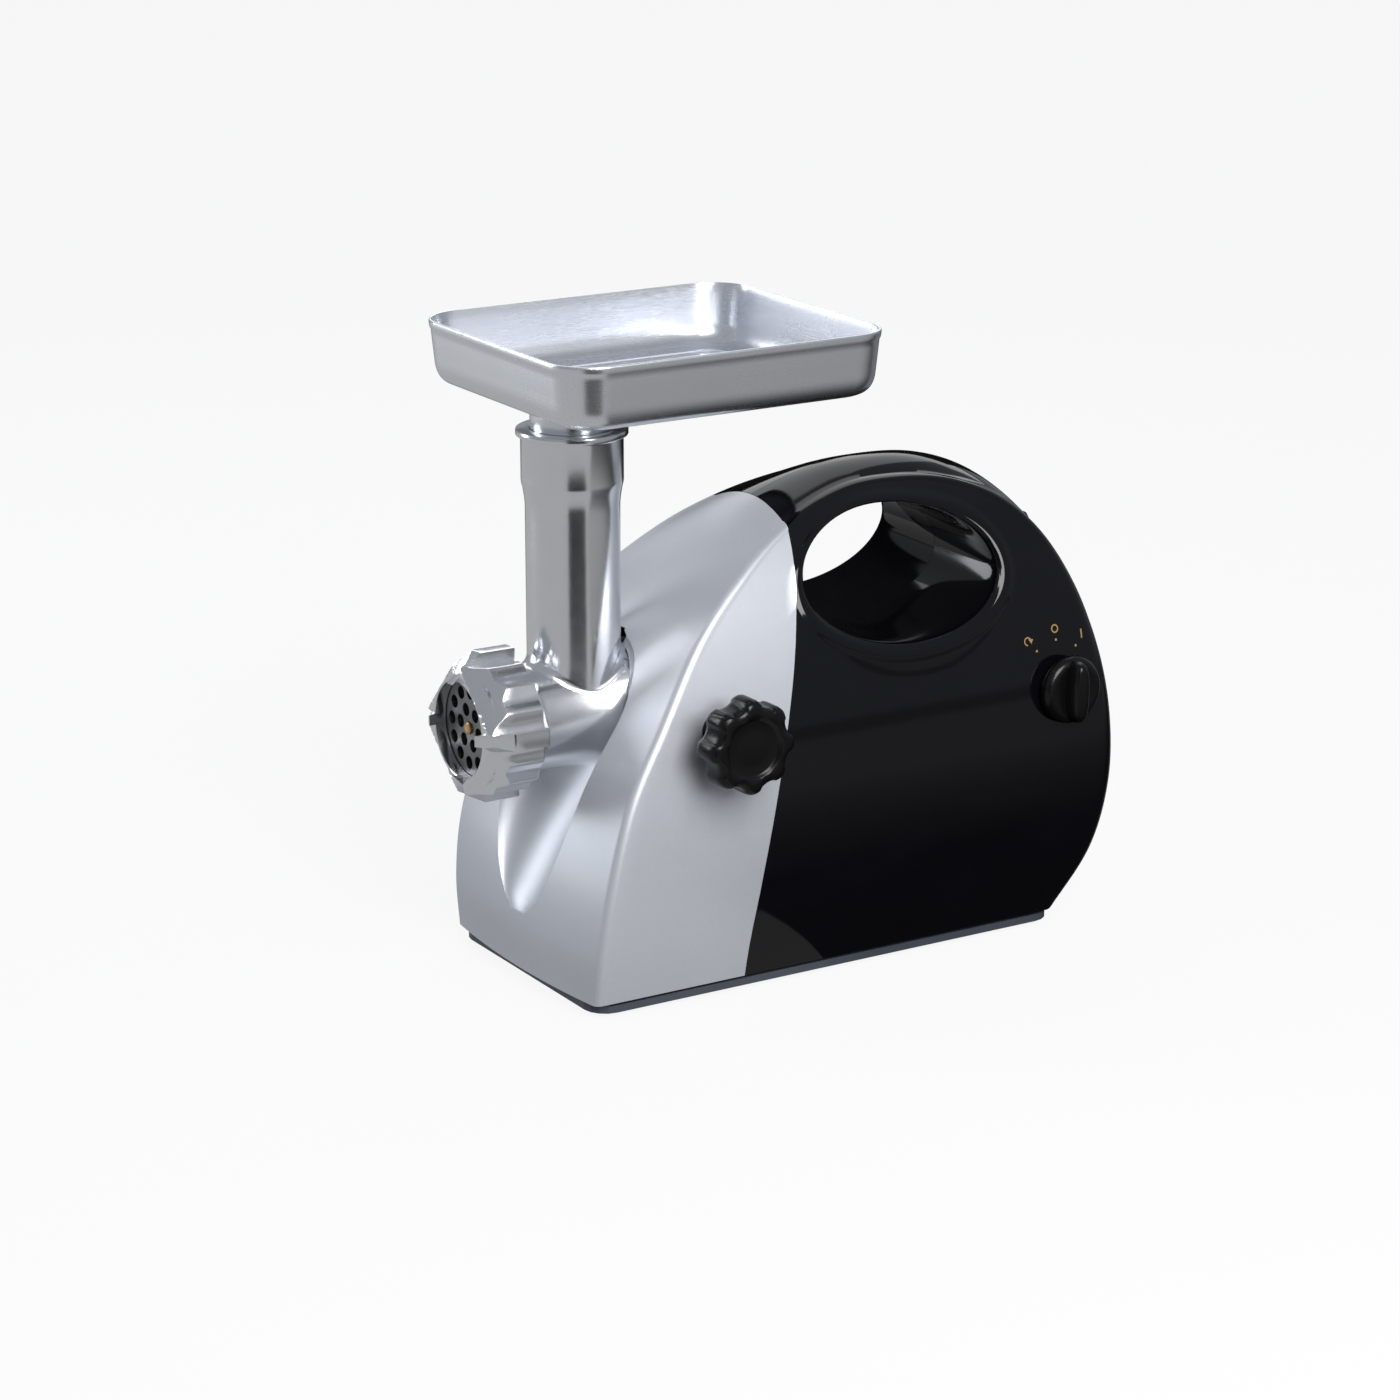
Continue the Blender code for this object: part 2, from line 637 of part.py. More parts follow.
front_y, wall_y, back_y = GEARBOX_Y
gearbox = prism("gearbox_case", case_outline, "Y", (front_y, wall_y - GAP), GREY_CAST)
case_core = prism("cut_case_core", shrink(case_outline, 3.2), "Y", (front_y + 4, wall_y + 5), None)
socket_r = SOCKET_BORE + SOCKET_WALL
socket_tube = rod("add_socket", "Y", (0, 0, DRIVE_Z), (SOCKET_FRONT, front_y + 1), socket_r, None, 32)
lock_boss = rod("add_lock_boss", "X", (0, LOCK_Y, LOCK_Z), (25, 56), 9.0, None, 20)
core_ends = (SOCKET_FRONT - 2, front_y - 2)
socket_core = rod("cut_socket_core", "Y", (0, 0, DRIVE_Z), core_ends, SOCKET_BORE, None, 32)
screw_bore = rod("cut_screw_bore", "X", (0, LOCK_Y, LOCK_Z), (20, 60), LOCK_SCREW_R + GAP, None, 16)
slot_y = (SOCKET_FRONT - 2, SOCKET_FRONT + 12)
key_slot = box("cut_key_slot", (-6, 6), slot_y, (DRIVE_Z + 20, DRIVE_Z + 45), None)
bush_hole = rod("cut_bush_hole", "Y", (0, 0, DRIVE_Z), (-30, -15), 11.6, None, 24)
idle_hole = rod("cut_idle_hole", "Y", (IDLE_X, 0, IDLE_Z), (-30, 30), IDLE_SHAFT_R + GAP, None, 16)
cut(gearbox, case_core, idle_hole)
join(gearbox, socket_tube, lock_boss)
cut(gearbox, bush_hole, socket_core, screw_bore, key_slot)
tube("output_bush_front", "Y", (0, 0, DRIVE_Z), (-26.0, -18.5), SHAFT_R + GAP, 11.3, BRASS, 18)

back_plate = prism("gearbox_back", case_outline, "Y", (wall_y, back_y), GREY_CAST)
leg = box("add_leg", (-40, 40), (wall_y, back_y), (12.4, MOTOR_Z), None)
leg_foot = box("add_leg_foot", (-40, 40), (SCREW_Y[0] - 9, back_y - 0.5), (12.4, 15.6), None)
bearing_hole = rod("cut_bearing_hole", "Y", (0, 0, MOTOR_Z), (10, 30), BEARING_R + GAP, None, 24)
rear_bush_hole = rod("cut_rear_bush", "Y", (0, 0, DRIVE_Z), (10, 30), BEARING_R + GAP, None, 24)
join(back_plate, leg, leg_foot)
cut(back_plate, bearing_hole, rear_bush_hole, idle_hole)
tube("output_bush_back", "Y", (0, 0, DRIVE_Z), (16.5, 22.5), SHAFT_R + GAP, BEARING_R, BRASS, 18)
tube("motor_bearing_front", "Y", (0, 0, MOTOR_Z), (18.0, 23.5), MOTOR_SHAFT_R + GAP, BEARING_R, STEEL, 16)

rear_bracket = box("motor_bracket", (-42, 42), BRACKET_Y, (12.4, 142), GREY_CAST)
bracket_foot = box("add_bracket_foot", (-42, 42), (BRACKET_Y[0] + 0.5, SCREW_Y[1] + 9), (12.4, 15.6), None)
rear_bearing_hole = rod("cut_rear_bearing", "Y", (0, 0, MOTOR_Z), (150, 175), BEARING_R + GAP, None, 24)
join(rear_bracket, bracket_foot)
cut(rear_bracket, rear_bearing_hole)
tube("motor_bearing_rear", "Y", (0, 0, MOTOR_Z), (158.5, 165.5), MOTOR_SHAFT_R + GAP, BEARING_R, STEEL, 16)
for number, y in enumerate(SCREW_Y):
    for side in (1, -1):
        hole = rod(f"cut_flange_hole_{number}_{side + 1}", "Z", (side * SCREW_X, y, 0), (5, 20), 2.3, None, 12)
        cut(back_plate if number == 0 else rear_bracket, hole)
BOLT = 33.0
for number, side in ((1, 1), (2, -1)):
    for name, body in (("back", back_plate), ("bracket", rear_bracket)):
        bolt_at = (side * BOLT, 0, MOTOR_Z - side * BOLT)
        hole = rod(f"cut_bolt_{name}_{number}", "Y", bolt_at, (10, 175), 2.8, None, 12)
        cut(body, hole)
    rod(f"motor_bolt_{number}", "Y", (side * BOLT, 0, MOTOR_Z - side * BOLT), (17.0, 168.0), 2.5, STEEL, 12)

# Motor


def sector(radii, angles, count):
    """A closed band between two radii and two angles, measured from +Z."""
    outer, inner = [], []
    for k in range(count + 1):
        a = math.radians(90 + angles[0] + (angles[1] - angles[0]) * k / count)
        outer.append((radii[1] * math.cos(a), MOTOR_Z + radii[1] * math.sin(a)))
        inner.append((radii[0] * math.cos(a), MOTOR_Z + radii[0] * math.sin(a)))
    return outer + inner[::-1]


stator = tube("stator_core", "Y", (0, 0, MOTOR_Z), STACK_Y, STATOR_BORE, STATOR_R, DARK_STEEL, 30)
for side in (90, -90):
    slot = prism(f"cut_slot_{side + 90}", sector((20, 35.5), (side - 46, side + 46), 8), "Y", (50, 124), None)
    cut(stator, slot)
for name, middle in (("field_coil_top", 0), ("field_coil_bottom", 180)):
    turn = sector((24.6, 34.8), (middle - 84, middle + 84), 12)
    coil = prism(name, turn, "Y", (STACK_Y[0] - 9, STACK_Y[1] + 9), COPPER)
    open_part = sector((20, 40), (middle - 47, middle + 47), 8)
    window = prism("cut_window_" + name, open_part, "Y", (STACK_Y[0] - GAP, STACK_Y[1] + GAP), None)
    cut(coil, window)

shaft_profile = [(2.5, 0), (2.5, 3.0), (15.5, 3.0), (15.5, MOTOR_SHAFT_R), (168, MOTOR_SHAFT_R), (168, 0)]
lathe("armature_shaft", shaft_profile, "Y", (0, 0, MOTOR_Z), STEEL, 14)
SLOTS = 12
core_outline = []
for k in range(SLOTS):
    middle = math.tau * k / SLOTS
    for radius, share in ((22.8, -0.36), (22.8, 0), (22.8, 0.36), (16.5, 0.36), (16.5, 0.64)):
        a = middle + share * math.tau / SLOTS
        core_outline.append((radius * math.cos(a), MOTOR_Z + radius * math.sin(a)))
core = prism("armature_core", core_outline, "Y", STACK_Y, DARK_STEEL, (0, STACK_Y[0], MOTOR_Z))
cut(core, rod("cut_core_bore", "Y", (0, 0, MOTOR_Z), (40, 140), MOTOR_SHAFT_R + GAP, None, 20))
winding_front = ("winding_front", STACK_Y[0] - GAP, STACK_Y[0] - 11)
winding_rear = ("winding_rear", STACK_Y[1] + GAP, STACK_Y[1] + 12)
for name, near, far in (winding_front, winding_rear):
    middle = (near + far) / 2
    profile = [(near, MOTOR_SHAFT_R + GAP), (near, 20), (middle, 21), (far, 15), (far, MOTOR_SHAFT_R + GAP)]
    lathe(name, profile, "Y", (0, 0, MOTOR_Z), COPPER, 14)
commutator = tube("commutator", "Y", (0, 0, MOTOR_Z), (129, 150), MOTOR_SHAFT_R + GAP, 13.0, COPPER, 18)

fan = tube("cooling_fan", "Y", (0, 0, MOTOR_Z), (29, 43), MOTOR_SHAFT_R + GAP, 9.0, FAN_BLACK, 14)
fan_disc = tube("add_fan_disc", "Y", (0, 0, MOTOR_Z), (41, 43), 8.0, 36.0, None, 20)
join(fan, fan_disc)
BLADES = 8
for k in range(BLADES):
    a = math.tau * k / BLADES
    c, s = math.cos(a), math.sin(a)
    corners = ((8, -0.9), (35.5, -4.9), (35.5, -3.1), (8, 0.9))
    outline = [(r * c - t * s, MOTOR_Z + r * s + t * c) for r, t in corners]
    join(fan, prism(f"add_blade_{k}", outline, "Y", (30, 41.5), None))

for name, side in (("right", 1), ("left", -1)):
    holder_x = sorted((side * 15, side * 34))
    holder = box(f"brush_holder_{name}", holder_x, (133, 146), (MOTOR_Z - 6, MOTOR_Z + 6), NYLON)
    guide = box(f"cut_guide_{name}", sorted((side * 10, side * 40)), (135, 144), (MOTOR_Z - 4, MOTOR_Z + 4), None)
    cut(holder, guide)
    brush_x = sorted((side * 13.6, side * 30))
    box(f"carbon_brush_{name}", brush_x, (135.4, 143.6), (MOTOR_Z - 3.6, MOTOR_Z + 3.6), CARBON)

# Controls
switch_x = float(half_width(SWITCH_Z)) - WALL
rotary_switch = box(
    "rotary_switch", (switch_x - 38, switch_x - 9), (SWITCH_Y - 17, SWITCH_Y + 15),
    (SWITCH_Z - 16, SWITCH_Z + 16),
    SWITCH_CREAM, bevel=1.5,
)
spindle_hole = rod("cut_spindle_hole", "X", (0, SWITCH_Y, SWITCH_Z), (switch_x - 18, switch_x), 4.6, None, 16)
cut(rotary_switch, spindle_hole)
dial = lathe(
    "switch_knob",
    [(switch_x - 15, 0), (switch_x - 15, 4.2), (DIAL_X[0], 4.2), (DIAL_X[0], DIAL_R - 1),
     (DIAL_X[0] + 1.2, DIAL_R),
     (DIAL_X[0] + 5.5, DIAL_R - 1.0), (DIAL_X[0] + 7.0, DIAL_R - 3.0), (DIAL_X[0] + 7.0, 0)],
    "X", (0, SWITCH_Y, SWITCH_Z), KNOB_BLACK, 26,
)
grip = box(
    "add_grip", (DIAL_X[0] + 5, DIAL_X[1]), (SWITCH_Y - 6, SWITCH_Y + 6),
    (SWITCH_Z - DIAL_R + 2.2, SWITCH_Z + DIAL_R - 2.2),
    None, bevel=2.0,
)
join(dial, grip)

screw_tip = SPIGOT_R + 0.6
lathe(
    "lock_screw",
    [(screw_tip, 0), (screw_tip, 2.6), (screw_tip + 2, LOCK_SCREW_R), (KNOB_X[0] + 12, LOCK_SCREW_R),
     (KNOB_X[0] + 12, 0)],
    "X", (0, LOCK_Y, LOCK_Z), STEEL, 20,
)
LOBES = 8
KNOB_POINTS = 32


def knob_ring(x, share, round_radius=None):
    ring = []
    for k in range(KNOB_POINTS):
        a = math.tau * k / KNOB_POINTS
        radius = (KNOB_R + KNOB_LOBE * math.cos(LOBES * a)) * share if round_radius is None else round_radius
        ring.append((x, LOCK_Y + radius * math.cos(a), LOCK_Z + radius * math.sin(a)))
    return ring


knob_rings = [
    knob_ring(KNOB_X[0] - KNOB_NECK, 1, 14.5), knob_ring(KNOB_X[0] + 1.5, 1, 13.0), knob_ring(KNOB_X[0], 0.82),
    knob_ring(KNOB_X[0] + 3, 1.0), knob_ring(KNOB_X[1] - 3.5, 1.0), knob_ring(KNOB_X[1], 0.9),
    knob_ring(KNOB_X[1], 1, 16.5), knob_ring(KNOB_X[1] - 1.5, 1, 15.0),
]
knob = from_rings("lock_knob", knob_rings, KNOB_BLACK, (KNOB_X[0], LOCK_Y, LOCK_Z))
cut(knob, rod("cut_knob_bore", "X", (0, LOCK_Y, LOCK_Z), (60, KNOB_X[0] + 13), LOCK_SCREW_R + GAP, None, 16))

# Grinding head
head = lathe(
    "grinder_head",
    [(HEAD_FRONT, 0), (HEAD_FRONT, THREAD_R - 0.8), (HEAD_FRONT + 1, THREAD_R), (RING_Y[1] + 1, THREAD_R),
     (RING_Y[1] + 2.5, BARREL_R + 1), (RING_Y[1] + 8, BARREL_R), (-92, BARREL_R), (-78, 34),
     (-65.5, FLANGE_R - 0.6),
     (-64.5, FLANGE_R), (SOCKET_FRONT - GAP, FLANGE_R), (SOCKET_FRONT - GAP, SPIGOT_R), (-28, SPIGOT_R),
     (-27, SPIGOT_R - 1),
     (-27, 0)],
    "Y", (0, 0, DRIVE_Z), POLISHED, 32,
)
feed = lathe(
    "add_feed_tube",
    [(DRIVE_Z + 6, 0), (DRIVE_Z + 6, TUBE_R), (284, TUBE_R),
     (298, TUBE_R + 2.2), (TUBE_TOP - 4.5, TUBE_R + 2.2), (TUBE_TOP - 3.5, LIP_R), (TUBE_TOP, LIP_R), (TUBE_TOP, 0)],
    "Z", (0, TUBE_Y, 0), None, 28,
)
key = box("add_key", (-5, 5), (SOCKET_FRONT - 3, SOCKET_FRONT + 10), (DRIVE_Z + 26, DRIVE_Z + 41), None)
web_outline = [
    (-66, DRIVE_Z + 28), (-59.5, DRIVE_Z + 28), (-59.5, DRIVE_Z + 36), (TUBE_Y + TUBE_R - 3, 248),
    (TUBE_Y + TUBE_R - 6, 248),
]
web = from_rings("add_web", [[(x, y, z) for y, z in web_outline] for x in (-2.2, 2.2)], None)
join(head, feed, key, web)
bore = lathe(
    "cut_bore",
    [(-170, 0), (-170, PLATE_R + 0.4), (PLATE_Y[1] + 0.4, PLATE_R + 0.4), (PLATE_Y[1] + 0.4, BORE_R),
     (-60, BORE_R), (-60, 9),
     (-50, 9), (-50, 25), (-20, 25), (-20, 0)],
    "Y", (0, 0, DRIVE_Z), None, 28,
)
throat = rod("cut_throat", "Z", (0, TUBE_Y, 0), (DRIVE_Z + 4, TUBE_TOP + 5), TUBE_BORE, None, 28)
dimple = rod("cut_dimple", "X", (0, LOCK_Y, LOCK_Z), (SPIGOT_R - 3.4, SPIGOT_R + 3), 4.4, None, 16)
cut(head, bore, throat, dimple)


def auger_radius(angle, y):
    """A single flight wound round the core: a raised ridge that follows the helix."""
    wrap = (angle / math.tau + y / FLIGHT_PITCH) % 1.0
    away = min(wrap, 1 - wrap) * FLIGHT_PITCH
    core_r = 9.5 + 4.5 * (y + 141) / 80
    rise = 1 - min(max((away - 2.4) / 4.4, 0), 1)
    return core_r + (FLIGHT_R - core_r) * rise


AUGER_Y = (-141.0, -61.5)
AROUND = 16
auger_rings = []
for y in np.linspace(AUGER_Y[0], AUGER_Y[1], 25):
    ring = []
    for k in range(AROUND):
        a = math.tau * k / AROUND
        radius = auger_radius(a, float(y))
        ring.append((radius * math.cos(a), float(y), DRIVE_Z + radius * math.sin(a)))
    auger_rings.append(ring)
auger = from_rings("auger", auger_rings, POLISHED, (0, AUGER_Y[0], DRIVE_Z))
shank = prism("add_shank", circle(HEX_R - 0.45, 6, (0, DRIVE_Z)), "Y", (AUGER_Y[1] - 2, -31), None)
SQUARE = 4.6
nose_square = [(SQUARE * a, DRIVE_Z + SQUARE * b) for a, b in ((1, -1), (1, 1), (-1, 1), (-1, -1))]
square = prism("add_square", nose_square, "Y", (-150.0, AUGER_Y[0] + 2), None)
join(auger, shank, square)
pin = lathe(
    "auger_pin",
    [(-157.6, 0), (-157.6, 2.6), (-156.8, 3.4), (-150.3, 3.4), (-150.3, 2.4), (-143.0, 2.4), (-143.0, 0)],
    "Y", (0, 0, DRIVE_Z), BRASS, 16,
)
cut(auger, rod("cut_pin_hole", "Y", (0, 0, DRIVE_Z), (-155, -142.5), 2.8, None, 12))
tube("auger_washer", "Y", (0, 0, DRIVE_Z), (-61.2, -60.2), HEX_R + 0.2, 14.0, NYLON, 24)

blade_outline = []
for k in range(4):
    a = math.radians(90 * k + 20)
    for radius, turn in ((25.4, -0.10), (25.4, 0.12), (11.5, 0.55)):
        blade_outline.append((radius * math.cos(a + turn), DRIVE_Z + radius * math.sin(a + turn)))
blade = prism("cutting_blade", blade_outline, "Y", (PLATE_Y[1] + 0.5, -144.5), STEEL, (0, PLATE_Y[1], DRIVE_Z))
hole_side = SQUARE + 0.35
hole_z = (DRIVE_Z - hole_side, DRIVE_Z + hole_side)
blade_hole = box("cut_blade_square", (-hole_side, hole_side), (-160, -140), hole_z, None)
cut(blade, blade_hole)

plate = rod("cutting_plate", "Y", (0, 0, DRIVE_Z), PLATE_Y, PLATE_R, STEEL, 32)
holes = [rod("cut_plate_centre", "Y", (0, 0, DRIVE_Z), (-165, -140), 3.8, None, 12)]
for count, radius, start in ((6, 10.8, 0.15), (12, 21.2, 0.05)):
    for k in range(count):
        a = start + math.tau * k / count
        centre = (radius * math.cos(a), 0, DRIVE_Z + radius * math.sin(a))
        holes.append(rod(f"cut_plate_{count}_{k}", "Y", centre, (-165, -140), PLATE_HOLE_R, None, 8))
cut(plate, *holes)
key_notch = box("cut_plate_notch", (-2.4, 2.4), (-165, -140), (DRIVE_Z - 35, DRIVE_Z - PLATE_R + 2.6), None)
cut(plate, key_notch)

FLUTES = 16
RING_POINTS = 64


def ring_loop(y, base, depth):
    """One loop round the ring: shallow flutes scooped between narrow ribs."""
    loop = []
    for k in range(RING_POINTS):
        a = math.tau * k / RING_POINTS
        radius = base - depth * abs(math.sin(FLUTES * a / 2)) ** 1.5
        loop.append((radius * math.cos(a), y, DRIVE_Z + radius * math.sin(a)))
    return loop


ring_rings = [
    ring_loop(RING_Y[0] + 1.0, RING_MOUTH_R, 0), ring_loop(RING_Y[0], RING_MOUTH_R + 1.5, 0),
    ring_loop(RING_Y[0] + 0.6, RING_MOUTH_R + 4.5, 0), ring_loop(RING_Y[0] + 5.0, RING_R - 3.5, 0.6),
    ring_loop(RING_Y[0] + 12.0, RING_R, 1.8), ring_loop(RING_Y[1] - 1.5, RING_R, 1.8),
    ring_loop(RING_Y[1], RING_R - 2.0, 0.6), ring_loop(RING_Y[1], THREAD_R + 0.4, 0),
    ring_loop(PLATE_Y[0] - 0.5, THREAD_R + 0.4, 0),
    ring_loop(PLATE_Y[0] - 0.5, RING_MOUTH_R, 0),
]
ring = from_rings("screw_ring", ring_rings, POLISHED, (0, RING_Y[0], DRIVE_Z), loop=True)
# Four fangs stand out at the quarter turns: each has a slanted face from its tip to its heel.
FANG_ANGLES = [math.radians(a) for a in (2, 92, 182, 272)]
FANG_SIDE = [
    (RING_Y[0] - 4.9, RING_MOUTH_R - 0.9), (RING_Y[0] + 13.5, FANG_R), (RING_Y[1] - 1.5, FANG_R),
    (RING_Y[1] - 1.5, RING_R - 3.0), (PLATE_Y[0] - 1.5, THREAD_R + 1.2), (RING_Y[0] + 0.8, RING_MOUTH_R + 2.5),
    (RING_Y[0] - 1.5, RING_MOUTH_R - 0.3),
]
for k, a in enumerate(FANG_ANGLES):
    c, s = math.cos(a), math.sin(a)
    loops = [[(r * c - t * s, y, DRIVE_Z + r * s + t * c) for y, r in FANG_SIDE] for t in (-FANG_HALF, FANG_HALF)]
    join(ring, from_rings(f"add_fang_{k}", loops, None))

# Tray


def tray_loop(z, inset):
    """A rounded rectangle, drawn in from the rim by this much."""
    corner = max(TRAY_CORNER - inset * 0.7, 4)
    x = TRAY_X - inset
    near, far = TRAY_Y[0] + inset, TRAY_Y[1] - inset
    loop = []
    corners = ((x - corner, far - corner, 0), (corner - x, far - corner, 90), (corner - x, near + corner, 180),
               (x - corner, near + corner, 270))
    for cx, cy, start in corners:
        for step in range(5):
            a = math.radians(start + 22.5 * step)
            loop.append((cx + corner * math.cos(a), cy + corner * math.sin(a), z))
    return loop


floor_z = TRAY_TOP - TRAY_DEPTH
tray_rings = [
    tray_loop(floor_z, 24), tray_loop(floor_z, 14), tray_loop(floor_z + 3.5, 6.5), tray_loop(floor_z + 10, 3.6),
    tray_loop(TRAY_TOP - 5, 1.2), tray_loop(TRAY_TOP - 3.5, 0.0), tray_loop(TRAY_TOP - 1, 0.0),
    tray_loop(TRAY_TOP, 1.2), tray_loop(TRAY_TOP - 1.2, 2.8), tray_loop(floor_z + 11, 3.6 + TRAY_SHEET),
    tray_loop(floor_z + 4.8 + TRAY_SHEET * 0.5, 6.5 + TRAY_SHEET), tray_loop(floor_z + TRAY_SHEET + 1.6, 14.5),
    tray_loop(floor_z + TRAY_SHEET + 1.6, 21), tray_loop(floor_z + TRAY_SHEET, 24),
]
tray = from_rings("hopper_tray", tray_rings, SATIN, (0, TUBE_Y, TRAY_TOP))
NECK_R = TUBE_BORE - 0.4
neck = rod("add_neck", "Z", (0, TUBE_Y, 0), (TUBE_TOP - 24, floor_z + 1), NECK_R, None, 32)
neck_bore = rod("cut_neck_bore", "Z", (0, TUBE_Y, 0), (TUBE_TOP - 30, TRAY_TOP), NECK_R - 1.8, None, 32)
join(tray, neck)
cut(tray, neck_bore)

# The raised vent cover high on the back.
vent_seat, vent_slope = seat_on_back(VENT_Z)
vent = box("rear_vent", (-20, 20), (-12, 12), (0.5, 3.6), BLACK, bevel=1.2)
vent.location = (0, vent_seat[0] * MM, vent_seat[1] * MM)
vent.rotation_euler = (vent_slope, 0, 0)

for obj in parts:
    obj.data.shade_smooth()
    obj.data.set_sharp_from_angle(angle=math.radians(32))

# Put the origin under the middle of the whole object.
bpy.context.view_layer.update()
graph = bpy.context.evaluated_depsgraph_get()
low = np.full(3, np.inf)
high = np.full(3, -np.inf)
for obj in parts:
    evaluated = obj.evaluated_get(graph)
    mesh = evaluated.to_mesh()
    points = np.empty(len(mesh.vertices) * 3)
    mesh.vertices.foreach_get("co", points)
    matrix = np.array(evaluated.matrix_world)
    world = points.reshape(-1, 3) @ matrix[:3, :3].T + matrix[:3, 3]
    evaluated.to_mesh_clear()
    low = np.minimum(low, world.min(axis=0))
    high = np.maximum(high, world.max(axis=0))
root.location = (-(low[0] + high[0]) / 2, -(low[1] + high[1]) / 2, -low[2])
bpy.context.view_layer.update()
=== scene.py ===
# %% [markdown]
# # Electric meat grinder
# The object is a kitchen meat grinder: an egg-sided plastic housing, a polished grinding head and a tray on top.
# Its working frame already exists as a CAD model with joints. This lesson builds the finished looks around that
# frame, so the sizes here repeat the frame's own.

# %% Load the frame
import json
import math

import bmesh
import bpy
import numpy as np
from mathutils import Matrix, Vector


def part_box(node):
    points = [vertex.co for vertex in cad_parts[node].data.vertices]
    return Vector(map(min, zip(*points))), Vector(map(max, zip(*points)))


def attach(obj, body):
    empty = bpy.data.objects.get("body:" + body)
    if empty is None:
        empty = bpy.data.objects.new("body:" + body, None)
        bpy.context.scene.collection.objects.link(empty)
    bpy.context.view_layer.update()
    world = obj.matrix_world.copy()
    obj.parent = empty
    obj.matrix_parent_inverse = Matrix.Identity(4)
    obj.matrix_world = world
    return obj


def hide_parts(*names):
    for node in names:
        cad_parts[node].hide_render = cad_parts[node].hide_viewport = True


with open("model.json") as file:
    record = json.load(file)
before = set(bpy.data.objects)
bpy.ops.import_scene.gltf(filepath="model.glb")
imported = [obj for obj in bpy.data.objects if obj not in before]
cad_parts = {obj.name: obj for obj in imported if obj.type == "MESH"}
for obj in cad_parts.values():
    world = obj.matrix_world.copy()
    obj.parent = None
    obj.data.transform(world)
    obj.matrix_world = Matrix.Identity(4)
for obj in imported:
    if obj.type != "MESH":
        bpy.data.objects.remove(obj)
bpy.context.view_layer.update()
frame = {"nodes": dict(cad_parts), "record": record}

body_of = {node: body for body, nodes in frame["record"]["behaviour"]["bodies"].items() for node in nodes}
print("bodies:", sorted(set(body_of.values())))

# %% [markdown]
# ## One set of axes
# A machine is easiest to draw from its own lines, so x is measured from the plane of symmetry and z from the
# floor. The cutting plate is round and stands on the drive axis: its box says where that plane and the front are.

# %% Where the drawing lies in the frame
MM = 0.001
PLATE_Y = (-155.5, -150.5)
DRIVE_Z = 161.0
plate_low, plate_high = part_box("cutting_plate")
shift = Vector(((plate_low.x + plate_high.x) / 2, plate_low.y - PLATE_Y[0] * MM, 0))
print("the drawing is moved by", [round(value, 5) for value in shift])


def in_frame(points):
    """Points of the drawing, in millimetres, as metres in the frame."""
    return np.asarray(points, float) * MM + np.array(shift)


# %% [markdown]
# ## Sockets that do sums
# A material is a graph, and sums in a graph take many nodes. One small class wraps a socket and gives it Python's
# operators, so that a pattern can be written as a formula. The same class serves Geometry Nodes.

# %% A graph and its values
class Value:
    """An output socket. Each operator on it adds one Math node."""

    def __init__(self, graph, socket):
        self.graph = graph
        self.socket = socket

    def maths(self, operation, *others):
        return self.graph.node("ShaderNodeMath", {"operation": operation}, dict(enumerate((self, *others))))

    def __add__(self, other):
        return self.maths("ADD", other)

    def __sub__(self, other):
        return self.maths("SUBTRACT", other)

    def __rsub__(self, other):
        return self.graph.node("ShaderNodeMath", {"operation": "SUBTRACT"}, {0: other, 1: self})

    def __mul__(self, other):
        return self.maths("MULTIPLY", other)

    def __truediv__(self, other):
        return self.maths("DIVIDE", other)

    __radd__ = __add__
    __rmul__ = __mul__


class Graph:
    """A node tree whose nodes are all added by one method."""

    def __init__(self, tree):
        self.tree = tree

    def node(self, kind, settings=None, sockets=None, output=0):
        made = self.tree.nodes.new(kind)
        for name, setting in (settings or {}).items():
            setattr(made, name, setting)
        for name, value in (sockets or {}).items():
            if isinstance(value, Value):
                self.tree.links.new(value.socket, made.inputs[name])
            else:
                made.inputs[name].default_value = value
        return Value(self, made.outputs[output])


# %% [markdown]
# ## Finishes
# Paint, moulded plastic and metal differ in three ways: how much their colour wanders, how their gloss wanders
# and how rough the skin is to the touch. One class sets up a Principled shader and gives each finish those three.

# %% A finish
looks = {}


class Finish(Graph):
    """A material for one finish, kept in looks. Patterns are laid out in metres, on the object's own coordinates."""

    def __init__(self, name, roughness, **constants):
        self.material = looks[name] = bpy.data.materials.new(name)
        self.material.use_nodes = True
        super().__init__(self.material.node_tree)
        self.shader = self.tree.nodes["Principled BSDF"]
        self.roughness = roughness
        for socket, value in constants.items():
            self.shader.inputs[socket.replace("_", " ")].default_value = value
        self.place = self.node("ShaderNodeTexCoord", output="Object")

    def noise(self, scale, detail=3.0, stretch=(1, 1, 1), rough=0.5):
        spread = tuple(scale * share for share in stretch)
        mapped = self.node("ShaderNodeMapping", {}, {"Vector": self.place, "Scale": spread})
        sockets = {"Vector": mapped, "Scale": 1.0, "Detail": detail, "Roughness": rough}
        return self.node("ShaderNodeTexNoise", {}, sockets, "Fac")

    def feed(self, value, socket):
        self.tree.links.new(value.socket, self.shader.inputs[socket])

    def colour(self, first, second, mask):
        sockets = {0: mask, 6: (*first, 1), 7: (*second, 1)}
        self.feed(self.node("ShaderNodeMix", {"data_type": "RGBA"}, sockets, 2), "Base Color")

    def gloss(self, pattern, swing):
        self.feed((pattern - 0.5) * swing + self.roughness, "Roughness")

    def skin(self, height, depth, strength=1.0):
        sockets = {"Height": height, "Distance": depth, "Strength": strength}
        self.feed(self.node("ShaderNodeBump", {}, sockets, "Normal"), "Normal")


